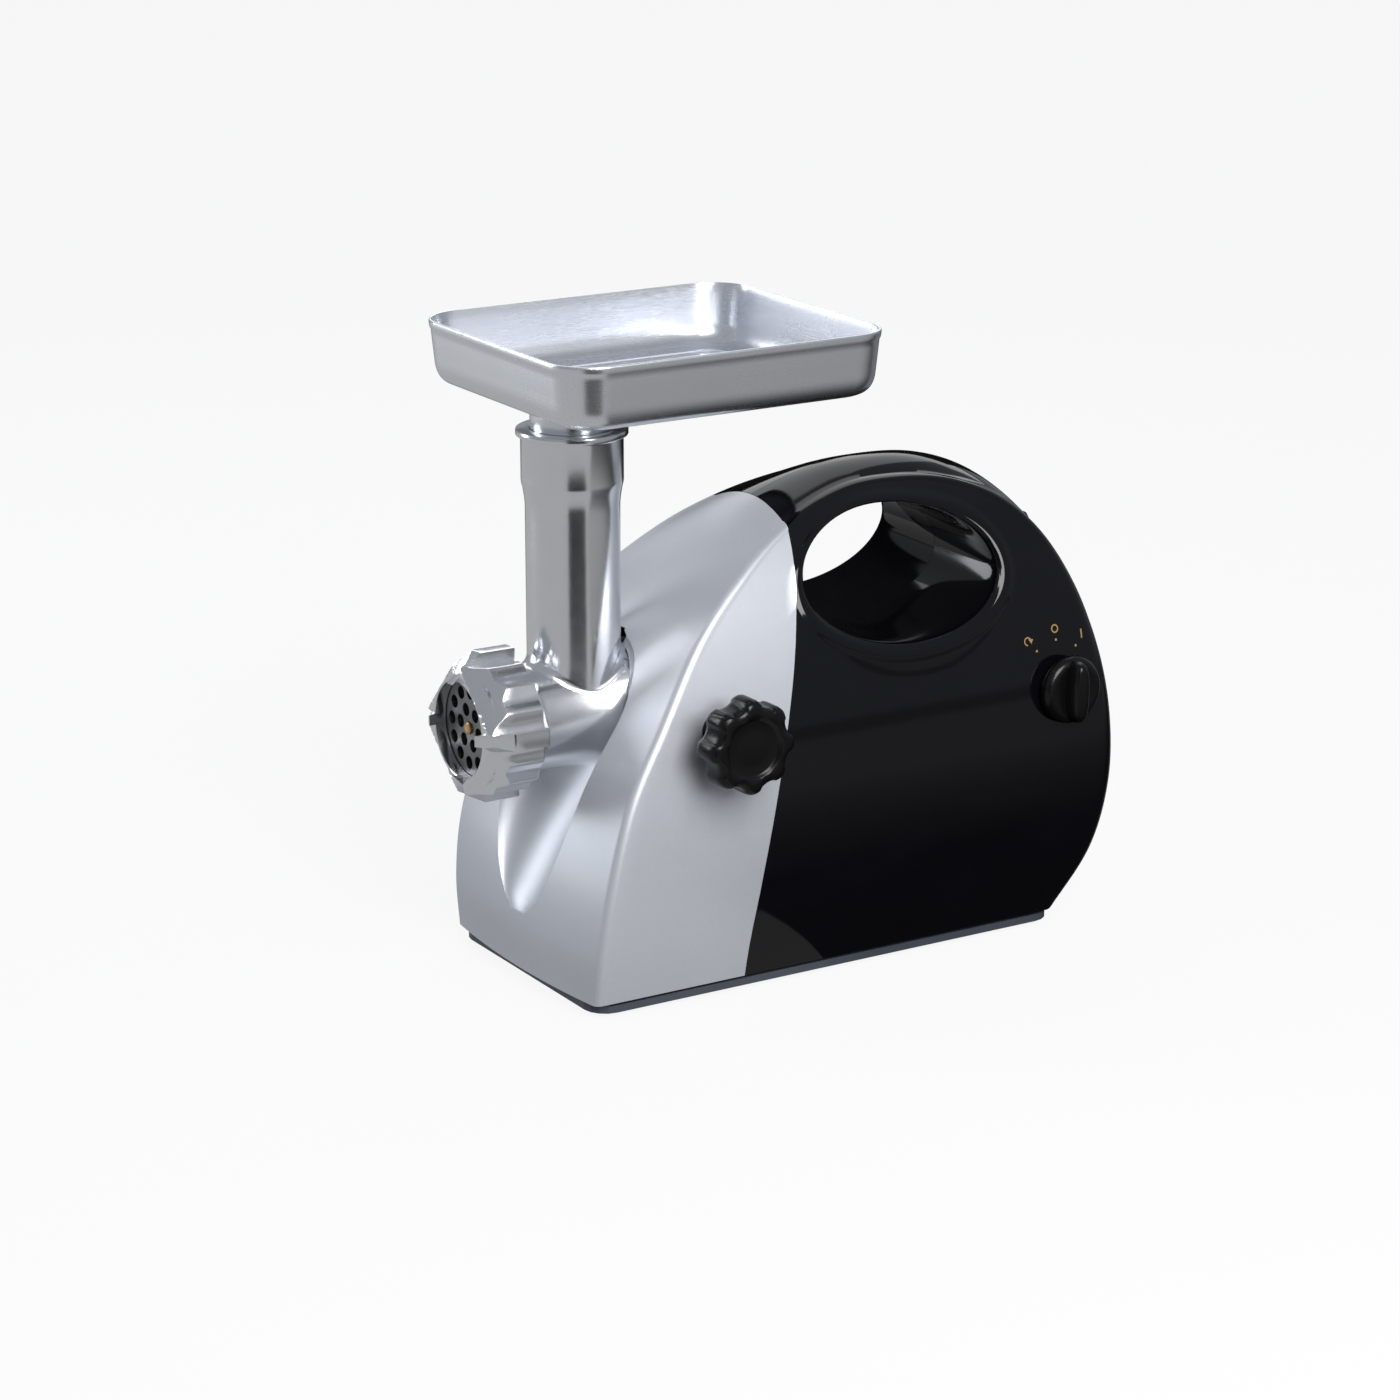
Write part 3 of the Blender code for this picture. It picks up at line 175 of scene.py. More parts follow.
def plain_finish(name, first, second, roughness, grain, depth, swing=0.15, wander=25.0, **constants):
    """A finish whose colour wanders between two tints, with a fine grain of its own."""
    made = Finish(name, roughness, **constants)
    cloud = made.noise(wander, 4.0)
    fine = made.noise(grain, 3.0)
    made.colour(first, second, cloud * 0.7 + fine * 0.3)
    made.gloss(fine * 0.5 + cloud * 0.5, swing)
    made.skin(fine, depth)


print("a finish has colour, gloss and skin")

# %% [markdown]
# ### Silver paint
# The front cover is sprayed with a metal-flake paint under a thin lacquer. Tiny flakes tip the surface this way
# and that, so the highlight is broad and milky. A cellular pattern of a quarter of a millimetre makes the flakes.

# %% Satin silver paint
paint = Finish("satin_silver_paint", 0.43, Metallic=0.55, Coat_Weight=0.10, Coat_Roughness=0.28)
FLAKES_PER_METRE = 4200.0
flakes = paint.node("ShaderNodeTexVoronoi", {}, {"Vector": paint.place, "Scale": FLAKES_PER_METRE}, "Color")
tip = paint.node("ShaderNodeSeparateColor", {}, {"Color": flakes}, 0)
drift = paint.noise(7.0, 3.0)
paint.colour((0.44, 0.46, 0.505), (0.58, 0.60, 0.65), tip * 0.45 + drift * 0.55)
paint.gloss(paint.noise(90.0, 4.0) * 0.6 + tip * 0.4, 0.10)
paint.skin(tip * 0.6 + paint.noise(260.0, 2.0) * 0.4, 0.00001)
print("made", paint.material.name)

# %% [markdown]
# ### Gloss black shell
# The rear covers are moulded in high-gloss black plastic. Such a skin is not perfectly flat: it has a slow ripple
# from cooling, and the finest haze where it is wiped. Both are very shallow, or the shell would look like leather.

# %% Gloss and semi-gloss black
gloss = Finish("gloss_black_shell", 0.075, IOR=1.38)
ripple = gloss.noise(38.0, 2.0)
wiped = gloss.noise(14.0, 5.0, (1, 1, 3))
gloss.colour((0.0012, 0.0012, 0.0018), (0.0030, 0.0028, 0.0042), wiped)
gloss.gloss(wiped * 0.7 + gloss.noise(900.0, 2.0) * 0.3, 0.05)
gloss.skin(ripple, 0.00006, 0.5)
plain_finish(
    "knob_black", (0.0016, 0.0016, 0.0020), (0.0036, 0.0035, 0.0040), 0.24, 700.0, 0.00002, 0.12, IOR=1.34
)
plain_finish("slate_base", (0.032, 0.038, 0.050), (0.058, 0.066, 0.082), 0.46, 1500.0, 0.00006)
plain_finish("rubber", (0.012, 0.012, 0.013), (0.030, 0.030, 0.030), 0.82, 1100.0, 0.0001)
print("made", gloss.material.name, "and three moulded finishes")

# %% [markdown]
# ### Polished and brushed aluminium
# The head is cast, turned and polished, so it mirrors the room with a faint wave. The tray is pressed from sheet
# and satined with an abrasive belt: its lines run level round the walls. Stretching a noise along one direction
# draws both kinds of line.

# %% Aluminium
polished = Finish("polished_aluminium", 0.19, Metallic=1.0)
cast_wave = polished.noise(45.0, 2.0)
hairlines = polished.noise(60.0, 2.0, (1, 26, 26))
polished.colour((0.72, 0.735, 0.765), (0.83, 0.845, 0.87), cast_wave * 0.5 + hairlines * 0.5)
polished.gloss(hairlines * 0.6 + polished.noise(120.0, 4.0) * 0.4, 0.14)
polished.skin(cast_wave * 0.9 + hairlines * 0.1, 0.00022, 0.5)

satin = Finish("satin_aluminium", 0.27, Metallic=1.0)
belt = satin.noise(9.0, 4.0, (1, 1, 170), 0.6)
floor_belt = satin.noise(9.0, 4.0, (130, 1, 1), 0.6)
smudge = satin.noise(16.0, 4.0)
lines = belt * 0.6 + floor_belt * 0.4
satin.colour((0.74, 0.76, 0.81), (0.80, 0.82, 0.87), lines * 0.5 + smudge * 0.5)
satin.gloss(lines * 0.5 + smudge * 0.5, 0.07)
satin.skin(lines, 0.00001, 0.3)
print("made", polished.material.name, "and", satin.material.name)

# %% [markdown]
# ### Ground steel
# A cutting plate is ground flat on a turntable, which leaves fine rings round its middle. The distance from the
# drive axis, fed to a noise of one dimension, gives rings of uneven width and strength.

# %% Ground steel, and the metals inside
RINGS_PER_METRE = 2600.0
steel = Finish("ground_steel", 0.38, Metallic=1.0)


def vector_maths(operation, first, second=(0, 0, 0), output="Vector"):
    return steel.node("ShaderNodeVectorMath", {"operation": operation}, {0: first, 1: second}, output)


from_axis = vector_maths("SUBTRACT", steel.place, (shift.x, 0, DRIVE_Z * MM))
reach = vector_maths("LENGTH", vector_maths("MULTIPLY", from_axis, (1, 0, 1)), output="Value")
ground = steel.node(
    "ShaderNodeTexNoise", {"noise_dimensions": "1D"}, {"W": reach * RINGS_PER_METRE, "Scale": 1.0}, "Fac"
)
worn = ground * 0.5 + steel.noise(70.0, 5.0) * 0.5
steel.colour((0.12, 0.12, 0.125), (0.25, 0.25, 0.255), worn)
steel.gloss(worn, 0.2)
steel.skin(ground, 0.00002, 0.7)
inside_finishes = {
    "lamination_steel": ((0.10, 0.10, 0.11), (0.22, 0.22, 0.23), 0.48, 900.0, 0.9),
    "enamelled_copper": ((0.42, 0.15, 0.06), (0.66, 0.28, 0.13), 0.32, 500.0, 0.8),
    "sintered_bronze": ((0.46, 0.30, 0.14), (0.66, 0.47, 0.25), 0.38, 1400.0, 1.0),
    "white_nylon": ((0.62, 0.61, 0.55), (0.78, 0.77, 0.71), 0.42, 500.0, 0.0),
    "gearbox_casting": ((0.25, 0.26, 0.28), (0.38, 0.39, 0.41), 0.5, 650.0, 0.7),
    "fan_plastic": ((0.025, 0.025, 0.028), (0.055, 0.055, 0.06), 0.5, 900.0, 0.0),
    "carbon": ((0.012, 0.012, 0.012), (0.035, 0.035, 0.035), 0.62, 1600.0, 0.0),
    "switch_moulding": ((0.38, 0.36, 0.30), (0.54, 0.52, 0.45), 0.48, 700.0, 0.0),
}
for name, (first, second, roughness, grain, metallic) in inside_finishes.items():
    plain_finish(name, first, second, roughness, grain, 0.00005, Metallic=metallic)
print("finishes:", len(looks))

# %% [markdown]
# ## Tools for making meshes
# Most pieces here are skins over a stack of rings, or profiles turned about an axis. Two helpers make those, and a
# third joins or cuts solids. Every mesh is drawn in millimetres and stored in the frame, with its object at the
# origin, so that patterns stay put.

# %% Skins, turned profiles and Booleans
SAME_POINT = 0.003 * MM


def in_scene(name, data):
    made = bpy.data.objects.new(name, data)
    bpy.context.scene.collection.objects.link(made)
    return made


def tidy(piece, look=None, smooth=35.0):
    """Closes doubles and poles, turns the faces outwards and marks the hard edges."""
    mesh = piece.data
    bm = bmesh.new()
    bm.from_mesh(mesh)
    bmesh.ops.remove_doubles(bm, verts=bm.verts[:], dist=SAME_POINT)
    bmesh.ops.dissolve_degenerate(bm, edges=bm.edges[:], dist=SAME_POINT / 3)
    bmesh.ops.recalc_face_normals(bm, faces=bm.faces[:])
    bm.to_mesh(mesh)
    bm.free()
    if look:
        mesh.materials.clear()
        mesh.materials.append(looks[look])
    mesh.shade_smooth()
    mesh.set_sharp_from_angle(angle=math.radians(smooth))


def skin(name, rings, joined=False):
    """A skin over rings of equal counts, capped at both ends, or with its last ring joined to its first."""
    rings = np.asarray(rings, float)
    rows, count = rings.shape[:2]
    faces = []
    for row in range(rows if joined else rows - 1):
        first, second = row * count, (row + 1) % rows * count
        faces += [(first + i, first + (i + 1) % count, second + (i + 1) % count, second + i) for i in range(count)]
    if not joined:
        faces.append(tuple(range(count)))
        faces.append(tuple(range((rows - 1) * count, rows * count))[::-1])
    mesh = bpy.data.meshes.new(name)
    mesh.from_pydata(in_frame(rings.reshape(-1, 3)).tolist(), [], faces)
    piece = in_scene(name, mesh)
    tidy(piece)
    return piece


def turned(name, profile, axis, centre, steps):
    """A profile of (along, radius) pairs turned about an axis."""
    along, radius = np.array(profile, float).T
    radius = np.maximum(radius, 1e-4)
    angles = np.linspace(0, math.tau, steps, endpoint=False) + 0.02
    u = radius[:, None] * np.cos(angles)
    v = radius[:, None] * np.sin(angles)
    w = np.repeat(along[:, None], steps, axis=1)
    order = {"X": (w, centre[1] + u, centre[2] + v), "Y": (centre[0] + u, w, centre[2] + v),
             "Z": (centre[0] + u, centre[1] + v, w)}[axis]
    return skin(name, np.stack(order, axis=-1))


def rectangle(x, y, z):
    return [(x[0], y[0], z), (x[1], y[0], z), (x[1], y[1], z), (x[0], y[1], z)]


def block(name, x, y, z):
    return skin(name, [rectangle(x, y, level) for level in z])


def carve(piece, cutters, operation="DIFFERENCE"):
    """Cuts each solid away from the piece, or joins it on, and removes it."""
    for cutter in cutters:
        modifier = piece.modifiers.new("carve", "BOOLEAN")
        modifier.solver = "MANIFOLD"
        modifier.operation = operation
        modifier.object = cutter
    settle(piece)
    for cutter in cutters:
        bpy.data.objects.remove(cutter)
    return piece


def settle(piece):
    """Makes what the modifiers show the piece's own mesh."""
    bpy.context.view_layer.update()
    shown = piece.evaluated_get(bpy.context.evaluated_depsgraph_get())
    mesh = bpy.data.meshes.new_from_object(shown)
    piece.modifiers.clear()
    piece.data = mesh


def soft_profile(points, steps):
    """A smooth curve through every point of a list, with this many steps between two of them."""
    p = np.asarray(points, float)
    p = np.concatenate([2 * p[:1] - p[1:2], p, 2 * p[-1:] - p[-2:-1]])
    made = []
    for a, b, c, d in zip(p, p[1:], p[2:], p[3:]):
        bend = 2 * a - 5 * b + 4 * c - d
        twist = 3 * b - 3 * c + d - a
        for t in np.linspace(0, 1, steps, endpoint=False):
            made.append(0.5 * (2 * b + (c - a) * t + bend * t**2 + twist * t**3))
    return np.array([*made, p[-2]])


def put_on(piece, nodes, look, smooth):
    """The piece stands for these CAD nodes, moves with their body and has their finish."""
    tidy(piece, look, smooth)
    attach(piece, body_of[nodes[0]])
    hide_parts(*nodes)
    print(piece.name, "for", ", ".join(nodes), "-", len(piece.data.polygons), "faces")


# %% [markdown]
# ## Camera, light and floor
# The camera stands a little over two metres off, at the front right, so that the tray's far corners stay parallel.
# A white studio would turn polished metal flat, so the room is grey and a few large soft lights are placed where
# the metal and the black shell mirror them.

# %% Camera
AIM_HEIGHT = 153.36 * MM
CAMERA_DISTANCE = 2.3704
aim = shift + Vector((0, 0, AIM_HEIGHT))


def aimed(thing, direction, distance):
    """Puts a camera or lamp out in this direction and turns it towards the object."""
    thing.location = aim + Vector(direction).normalized() * distance
    thing.rotation_euler = (aim - thing.location).to_track_quat("-Z", "Y").to_euler()


camera_data = bpy.data.cameras.new("camera")
camera_data.lens = 102.3
camera_data.sensor_width = 36.0
camera = in_scene("camera", camera_data)
aimed(camera, (0.8171, -0.4997, 0.2875), CAMERA_DISTANCE)
bpy.context.scene.camera = camera
bpy.context.scene.view_settings.view_transform = "Standard"
print("camera at", [round(value, 3) for value in camera.location])

# %% Soft lights
def soft_light(name, direction, distance, size, power, tint=(1, 1, 1)):
    data = bpy.data.lights.new(name, "AREA")
    data.shape = "RECTANGLE"
    data.size, data.size_y = size
    data.energy = power
    data.color = tint
    aimed(in_scene(name, data), direction, distance)


soft_light("key_right", (0.88, -0.10, 0.56), 1.7, (0.9, 1.1), 37, (1, 0.99, 0.98))
soft_light("top_left", (-0.62, 0.38, 0.70), 1.8, (1.4, 1.2), 7)
soft_light("front_left", (-0.80, -0.75, 0.30), 2.0, (0.5, 1.5), 15, (0.94, 0.97, 1))
world = bpy.data.worlds.new("studio")
world.use_nodes = True
background = world.node_tree.nodes["Background"]
background.inputs["Color"].default_value = (0.90, 0.94, 1.0, 1)
background.inputs["Strength"].default_value = 0.36
bpy.context.scene.world = world
print("three soft lights in a grey room")

# %% [markdown]
# The floor is seen white, yet a white floor under polished metal would drown its reflections. So there are two
# sheets: a white one that only the camera sees, which also takes the shadows, and a grey one below it that gives
# the bounced light.

# %% Floor
def sheet(name, corners, albedo, glow, unseen):
    """A flat sheet of the studio, which the kinds of ray in the list pass through."""
    material = bpy.data.materials.new(name)
    material.use_nodes = True
    shader = material.node_tree.nodes["Principled BSDF"]
    for socket, value in (
        ("Base Color", (albedo, albedo, albedo, 1)), ("Roughness", 1.0), ("Specular IOR Level", 0.0),
        ("Emission Color", (1, 1, 1, 1)), ("Emission Strength", glow),
    ):
        shader.inputs[socket].default_value = value
    mesh = bpy.data.meshes.new(name)
    mesh.from_pydata(corners, [], [(0, 1, 2, 3)])
    mesh.materials.append(material)
    made = in_scene(name, mesh)
    for rays in unseen:
        setattr(made, f"visible_{rays}", False)
    return material


def card_corners(start, bearing, distance, width, heights):
    """An upright card that faces a point of the drawing, at this bearing from the front."""
    out = Vector((math.sin(bearing), -math.cos(bearing), 0))
    along = Vector((-out.y, out.x, 0)) * width / 2
    middle = Vector((*in_frame([start])[0][:2], 0)) + out * distance
    near, far = (middle - along)[:2], (middle + along)[:2]
    low, high = heights
    return [(*near, low), (*far, low), (*far, high), (*near, high)]


FAR_EDGE = (-15, 15)
CAMERA_ONLY = ("diffuse", "glossy", "transmission")
sheet("seen_floor", rectangle(FAR_EDGE, FAR_EDGE, -0.0002), 0.05, 0.905, CAMERA_ONLY)
sheet("bounce_floor", rectangle(FAR_EDGE, FAR_EDGE, -0.0008), 0.42, 0.02, ("camera",))
print("floor and lights are in place")

# %% [markdown]
# Polished metal and gloss black show what stands round them, so a studio places cards for them alone: a dark one by
# the camera, which draws the black streak down the feed tube, a dim one on the floor beside the shell, which glows
# least near the shell as a painted shadow of the floor, and a bright one low behind, which fills the tray with light.
# A small dark one keeps that light out of the handle opening.

# %% Cards that only the gloss sees
ONLY_GLOSS = ("camera", "diffuse", "transmission", "shadow")
TUBE_Y = -86.0
AT_TUBE = (0, TUBE_Y, 0)
IN_TUNNEL = (0, 60, 0)
BY_CAMERA, BEHIND = math.radians(70.7), math.radians(238)
CARD_LEVEL = -0.0005
for name, corners, glow in (
    ("dark_card", card_corners(AT_TUBE, BY_CAMERA, 0.6, 0.44, (0.0, 0.6)), 0.02),
    ("bright_card", card_corners(AT_TUBE, BEHIND, 1.3, 1.5, (0.68, 1.02)), 1.9),
    ("tunnel_card", card_corners(IN_TUNNEL, BEHIND, 0.2, 0.3, (0.18, 0.35)), 0.01),
    ("pale_card", rectangle((-3.0, 3.0), (-3.0, 0.0), CARD_LEVEL), 0.44),
):
    sheet(name, corners, 0.0, glow, ONLY_GLOSS)
dim = Graph(sheet("dim_card", rectangle((0.06, 3.0), (0.0, 3.0), CARD_LEVEL), 0.0, 1.0, ONLY_GLOSS).node_tree)
sideways = dim.node("ShaderNodeSeparateXYZ", {}, {0: dim.node("ShaderNodeTexCoord", output="Object")}, "X")
# The dim card glows less the nearer it lies to the shell: a painted shadow of the floor, seen only in reflections.
painted_shadow_fade = ((sideways - 0.22) * 1.9).maths("MAXIMUM", 0.0).maths("MINIMUM", 1.0)
dim.tree.links.new((painted_shadow_fade * 0.30 + 0.03).socket, dim.tree.nodes["Principled BSDF"].inputs["Emission Color"])
print("cards are in place")

# %% [markdown]
# ## The housing
# Seen from the side the housing is a rounded hill; cut across, it is an egg, widest low down. So a point of the
# skin needs only its place on the side view: its distance from the plane of symmetry follows from its height. The
# skin is laid as rings that run out from the handle opening, over its lip, across the side, round the edge and
# over the crown, and the other half is its mirror image. Many rings keep the gloss free of facets.

# %% The egg-shaped section
SHELL_FOOT = 9.5
HALF_WIDTH = 91.0
WIDEST_Z = 75.0
EGG_HEIGHT = 215.0
FOOT_TUCK = 9.0
WALL = 3.0
GAP = 0.3
HILL = [
    (-121.7, SHELL_FOOT), (-121.0, 42), (-115, 82), (-101, 127), (-79, 164), (-43, 214), (0, 249), (38, 268.5),
    (77, 279.5), (112, 282), (150, 278.5), (183, 266), (208, 243), (227, 207), (239, 166), (244, 125), (242, 85),
    (230, 45), (206, SHELL_FOOT),
]
SEAM = [(42, 310), (34, 268), (29, 240), (19, 198), (8, 156), (-4, 108), (-14, 64), (-20, 26), (-21, -20)]
OPENING = (102.0, 231.0)
OPENING_HALF = (66.0, 37.0)
OPENING_TILT = math.radians(-3)
LIP = 8.0
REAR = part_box("left_shell")[1].y / MM - shift.y / MM


def half_width(z, inset=0.0):
    z = np.asarray(z, float)
    up = np.clip((z - WIDEST_Z) / (EGG_HEIGHT - inset), 0, 0.999)
    down = np.clip((WIDEST_Z - z) / WIDEST_Z, 0, 1)
    return (HALF_WIDTH - inset) * np.sqrt(1 - up**2) - FOOT_TUCK * down**2


def even_curve(points, count):
    """A smooth curve through the points, as this many points at equal steps."""
    fine = soft_profile(points, 24)
    length = np.concatenate([[0], np.cumsum(np.linalg.norm(np.diff(fine, axis=0), axis=1))])
    at = np.linspace(0, length[-1], count)
    return np.column_stack([np.interp(at, length, fine[:, 0]), np.interp(at, length, fine[:, 1])])


print("half width at the lock screw:", round(float(half_width(DRIVE_Z)), 1), "mm")

# %% Rings of the skin
def side_view(crest_count, foot_count, inset):
    """The outline, its outward direction and the opening point that belongs to each outline point."""
    crest = even_curve(HILL, crest_count)
    run = np.gradient(crest, axis=0)
    normal = np.column_stack([-run[:, 1], run[:, 0]])
    normal[0], normal[-1] = (-1, 0), (1, 0)
    normal /= np.linalg.norm(normal, axis=1)[:, None]
    crest = crest - normal * inset
    foot_z = -12.0 if inset else SHELL_FOOT
    foot = np.linspace(crest[-1, 0], crest[0, 0], foot_count + 2)[1:-1]
    edge = np.vstack([crest, np.column_stack([foot, np.full(foot_count, foot_z)])])
    normal = np.vstack([normal, np.zeros((foot_count, 2))])
    seen = np.unwrap(np.arctan2(edge[:, 1] - OPENING[1], edge[:, 0] - OPENING[0]))
    even = np.linspace(seen[0], seen[0] - math.tau, len(edge) + 1)[:-1]
    at = 0.5 * seen + 0.5 * even
    a = (OPENING_HALF[0] + inset) * np.cos(at)
    b = (OPENING_HALF[1] + inset) * np.sin(at)
    c, s = math.cos(OPENING_TILT), math.sin(OPENING_TILT)
    opening = np.column_stack([OPENING[0] + a * c - b * s, OPENING[1] + a * s + b * c])
    return edge, normal, opening, foot_z


def along_outline(count, foot_count, values):
    """A measure that changes along the outline and is nothing under the foot."""
    shown = np.interp(np.linspace(0, 1, count), *zip(*values))
    return np.concatenate([shown, np.zeros(foot_count)])


def housing_rings(count, foot_count, inset=0.0, side_steps=14, turn_steps=6, crown_steps=9):
    """Rings from the handle opening over the side and the crown, and back down the other side."""
    edge, normal, opening, foot_z = side_view(count, foot_count, inset)
    radius = along_outline(count, foot_count, [(0, 5), (0.35, 5), (0.5, 3), (0.62, 4), (0.75, 10), (1, 10)])
    crown = along_outline(count, foot_count, [(0, 5), (0.3, 6), (0.5, 7.5), (0.75, 10), (1, 8)])
    radius = np.maximum(radius * (0.6 if inset else 1), 0.5)
    reach = np.linalg.norm(edge - opening, axis=1)[:, None]
    outward = (edge - opening) / reach
    lip = np.minimum(LIP, 0.45 * reach)

    def ring(points, x):
        return np.column_stack([x, np.minimum(points[:, 0], REAR), np.maximum(points[:, 1], foot_z)])

    def side(points, lift=0.0):
        return ring(points, half_width(points[:, 1], inset) + lift)

    deep = half_width(opening[:, 1], inset)
    if inset:
        start = opening + outward * np.minimum(11, 0.6 * reach)
        rings = [ring(opening, deep * 0), ring(opening + outward * 0.8, deep * 0.6),
                 ring(opening + outward * 2, deep - 7), side(start, -0.5)]
    else:
        start = opening + outward * lip * 1.7
        lip_rings = [ring(opening, deep * 0), ring(opening + outward * 0.5, deep * 0.6),
                     ring(opening + outward * 1.5, deep - 4.5), side(opening + outward * lip * 0.45, -0.2),
                     side(opening + outward * lip, 1.2), side(start)]
        rings = list(soft_profile(lip_rings, 5))
    low = edge - normal * radius[:, None]
    rings += [side(start + (low - start) * share) for share in np.linspace(0, 1, side_steps + 1)[1:-1]]
    sharp = half_width(edge[:, 1], inset)
    wide = half_width(low[:, 1], inset) - sharp + radius
    for angle in np.linspace(0, math.pi / 2, turn_steps + 1):
        rings.append(ring(low + normal * (radius * math.sin(angle))[:, None], sharp - radius + wide * math.cos(angle)))
    for share in np.linspace(1, 0, crown_steps + 1)[1:]:
        rings.append(ring(edge + normal * (crown * (1 - share**2))[:, None], (sharp - radius) * share))
    rings = np.array(rings)
    return np.concatenate([rings, rings[-2:0:-1] * (-1, 1, 1)])


outer = housing_rings(230, 40)
inner = housing_rings(90, 20, WALL, 4, 2, 3)
print("outer skin:", outer.shape[0], "rings of", outer.shape[1], "points")

# %% [markdown]
# ### Scoop, seam and holes
# A hollow under the barrel leaves room for a bowl, a curved seam divides the silver front from the black shells,
# and the controls pass through round holes. Each is a solid that is cut away, which is how the mould makes them.

# %% Cutting tools for the housing
SCOOP_Z = (43.0, DRIVE_Z + 46.0)
SCOOP_HALF = 46.0
SCOOP_FLOOR = -66.0
LOCK_Y = -37.5
SWITCH_Y, SWITCH_Z = 206.5, 151.0
FLANGE_R = 38.0
FAR = 180.0


def face_y(z):
    """How far forward the middle of the front stands at this height."""
    crest = even_curve(HILL, 200)[:90]
    return float(np.interp(z, crest[:, 1], crest[:, 0]) - 5.5)


def scoop(name, grow, levels=44, around=80):
    widest = DRIVE_Z - 1
    rings = []
    angles = np.linspace(0, math.tau, around, endpoint=False) + 0.03
    for z in np.linspace(*SCOOP_Z, levels):
        span = widest - SCOOP_Z[0] if z < widest else SCOOP_Z[1] - widest + 2
        width = SCOOP_HALF * math.sqrt(max(0.02, 1 - ((z - widest) / span) ** 2))
        front = face_y(z)
        rise = min((z - SCOOP_Z[0]) / 82, 1)
        back = front + 41 * rise**0.85 if rise < 1 else SCOOP_FLOOR + 0.5 * max(z - widest - 22, 0)
        depth = max(back - front, 2.5)
        level = z + (grow if z == SCOOP_Z[1] else (-grow if z == SCOOP_Z[0] else 0))
        rings.append(np.column_stack([
            (width + grow) * np.cos(angles), front + (depth + grow) * np.sin(angles), np.full(around, level)
        ]))
    return skin(name, rings)


def across_seam(side_of_seam, shift_y):
    points = [(y + shift_y, z) for y, z in even_curve(SEAM, 70)]
    points += [(side_of_seam * 2 * FAR, points[-1][1]), (side_of_seam * 2 * FAR, points[0][1])]
    return skin("seam_tool", [[(x, y, z) for y, z in points] for x in (-FAR, FAR)])


def rod(axis, centre, ends, radius, steps=64):
    profile = [(ends[0], 0), (ends[0], radius), (ends[1], radius), (ends[1], 0)]
    return turned("rod_tool", profile, axis, centre, steps)


def tilted_rod(centre, away, ends, radius, steps=48):
    """A rod in a plane beside the side view, in the direction (y, z)."""
    along = np.array([0, *away]) / math.hypot(*away)
    up = np.array([0, -along[2], along[1]])
    a = np.linspace(0, math.tau, steps, endpoint=False)[:, None]
    circle_of = [(ends[0], 1e-4), (ends[0], radius), (ends[1], radius), (ends[1], 1e-4)]
    return skin("tilted_tool", [
        np.array(centre) + along * at + r * (np.cos(a) * (1, 0, 0) + np.sin(a) * up) for at, r in circle_of
    ])


def hollow_tool(with_scoop=False):
    tool = skin("hollow_tool", inner, joined=True)
    return carve(tool, [scoop("scoop_wall", WALL)]) if with_scoop else tool


print("scoop runs from", SCOOP_Z[0], "to", SCOOP_Z[1], "mm above the floor")

# %% Silver front cover
front_cover = skin("front_cover", outer, joined=True)
carve(front_cover, [
    hollow_tool(True), across_seam(1, 0.0), scoop("scoop_tool", 0.0),
    rod("Y", (0, 0, DRIVE_Z), (-130, -45), FLANGE_R + 0.7, 128),
    block("key_tool", (-8, 8), (-110, -40), (DRIVE_Z + 30, DRIVE_Z + 47)),
    rod("X", (0, LOCK_Y, DRIVE_Z), (60, 120), 12.0),
])
put_on(front_cover, ["front_shell"], "satin_silver_paint", 30)

# %% Black rear covers
CORD_X, CORD_Z = -32.0, 30.0
back = even_curve(HILL, 400)[250:]
at_cord = int(np.argmin(np.abs(back[:, 1] - CORD_Z)))
slope_y, slope_z = back[at_cord - 12] - back[at_cord + 12]
cord_hole = tilted_rod((CORD_X, *back[at_cord]), (slope_z, -slope_y), (-30, 12), 8.0)
switch_hole = rod("X", (0, SWITCH_Y, SWITCH_Z), (60, 120), 6.5)


def black_cover(side, first_tools, half, last_tools):
    cover = skin(f"{side}_cover", outer, joined=True)
    other_half = block("half_tool", half, (-250, 320), (-30, 330))
    carve(cover, [hollow_tool(), *first_tools, across_seam(-1, GAP), other_half, *last_tools])
    put_on(cover, [f"{side}_shell"], "gloss_black_shell", 30)


black_cover("left", [cord_hole], (-GAP / 2, FAR), [])
black_cover("right", [], (-FAR, GAP / 2), [switch_hole])

# %% [markdown]
# ## The grinding head
# The barrel lies along the drive axis and swells into a flange; the feed tube stands on it. Where two castings
# meet there is always a fillet, and it is what makes polished metal look cast. A ball rolled round the joint gives
# its shape: the ball touches the tube and the barrel, and the skin follows the arc between the two touches.

# %% Barrel
BARREL_R = 31.5
BORE_R = 26.5
HEAD_FRONT = -153.5
THREAD_R = 35.0
PLATE_R = 31.0
RING_Y = (-163.0, -127.0)
SPIGOT_R = 30.0
FLANGE_BACK = -58.3
TUBE_R = 27.5
TUBE_BORE = 24.6
TUBE_TOP = 330.0
COLLAR = 45.0
LIP_R = 32.5
FILLET = 7.5


def barrel_radius(y):
    """The barrel is straight behind the ring and swells like a trumpet into its flange."""
    swell = np.clip((np.asarray(y, float) + 120) / 55, 0, 1)
    return BARREL_R + (FLANGE_R - 0.6 - BARREL_R) * swell**2.4


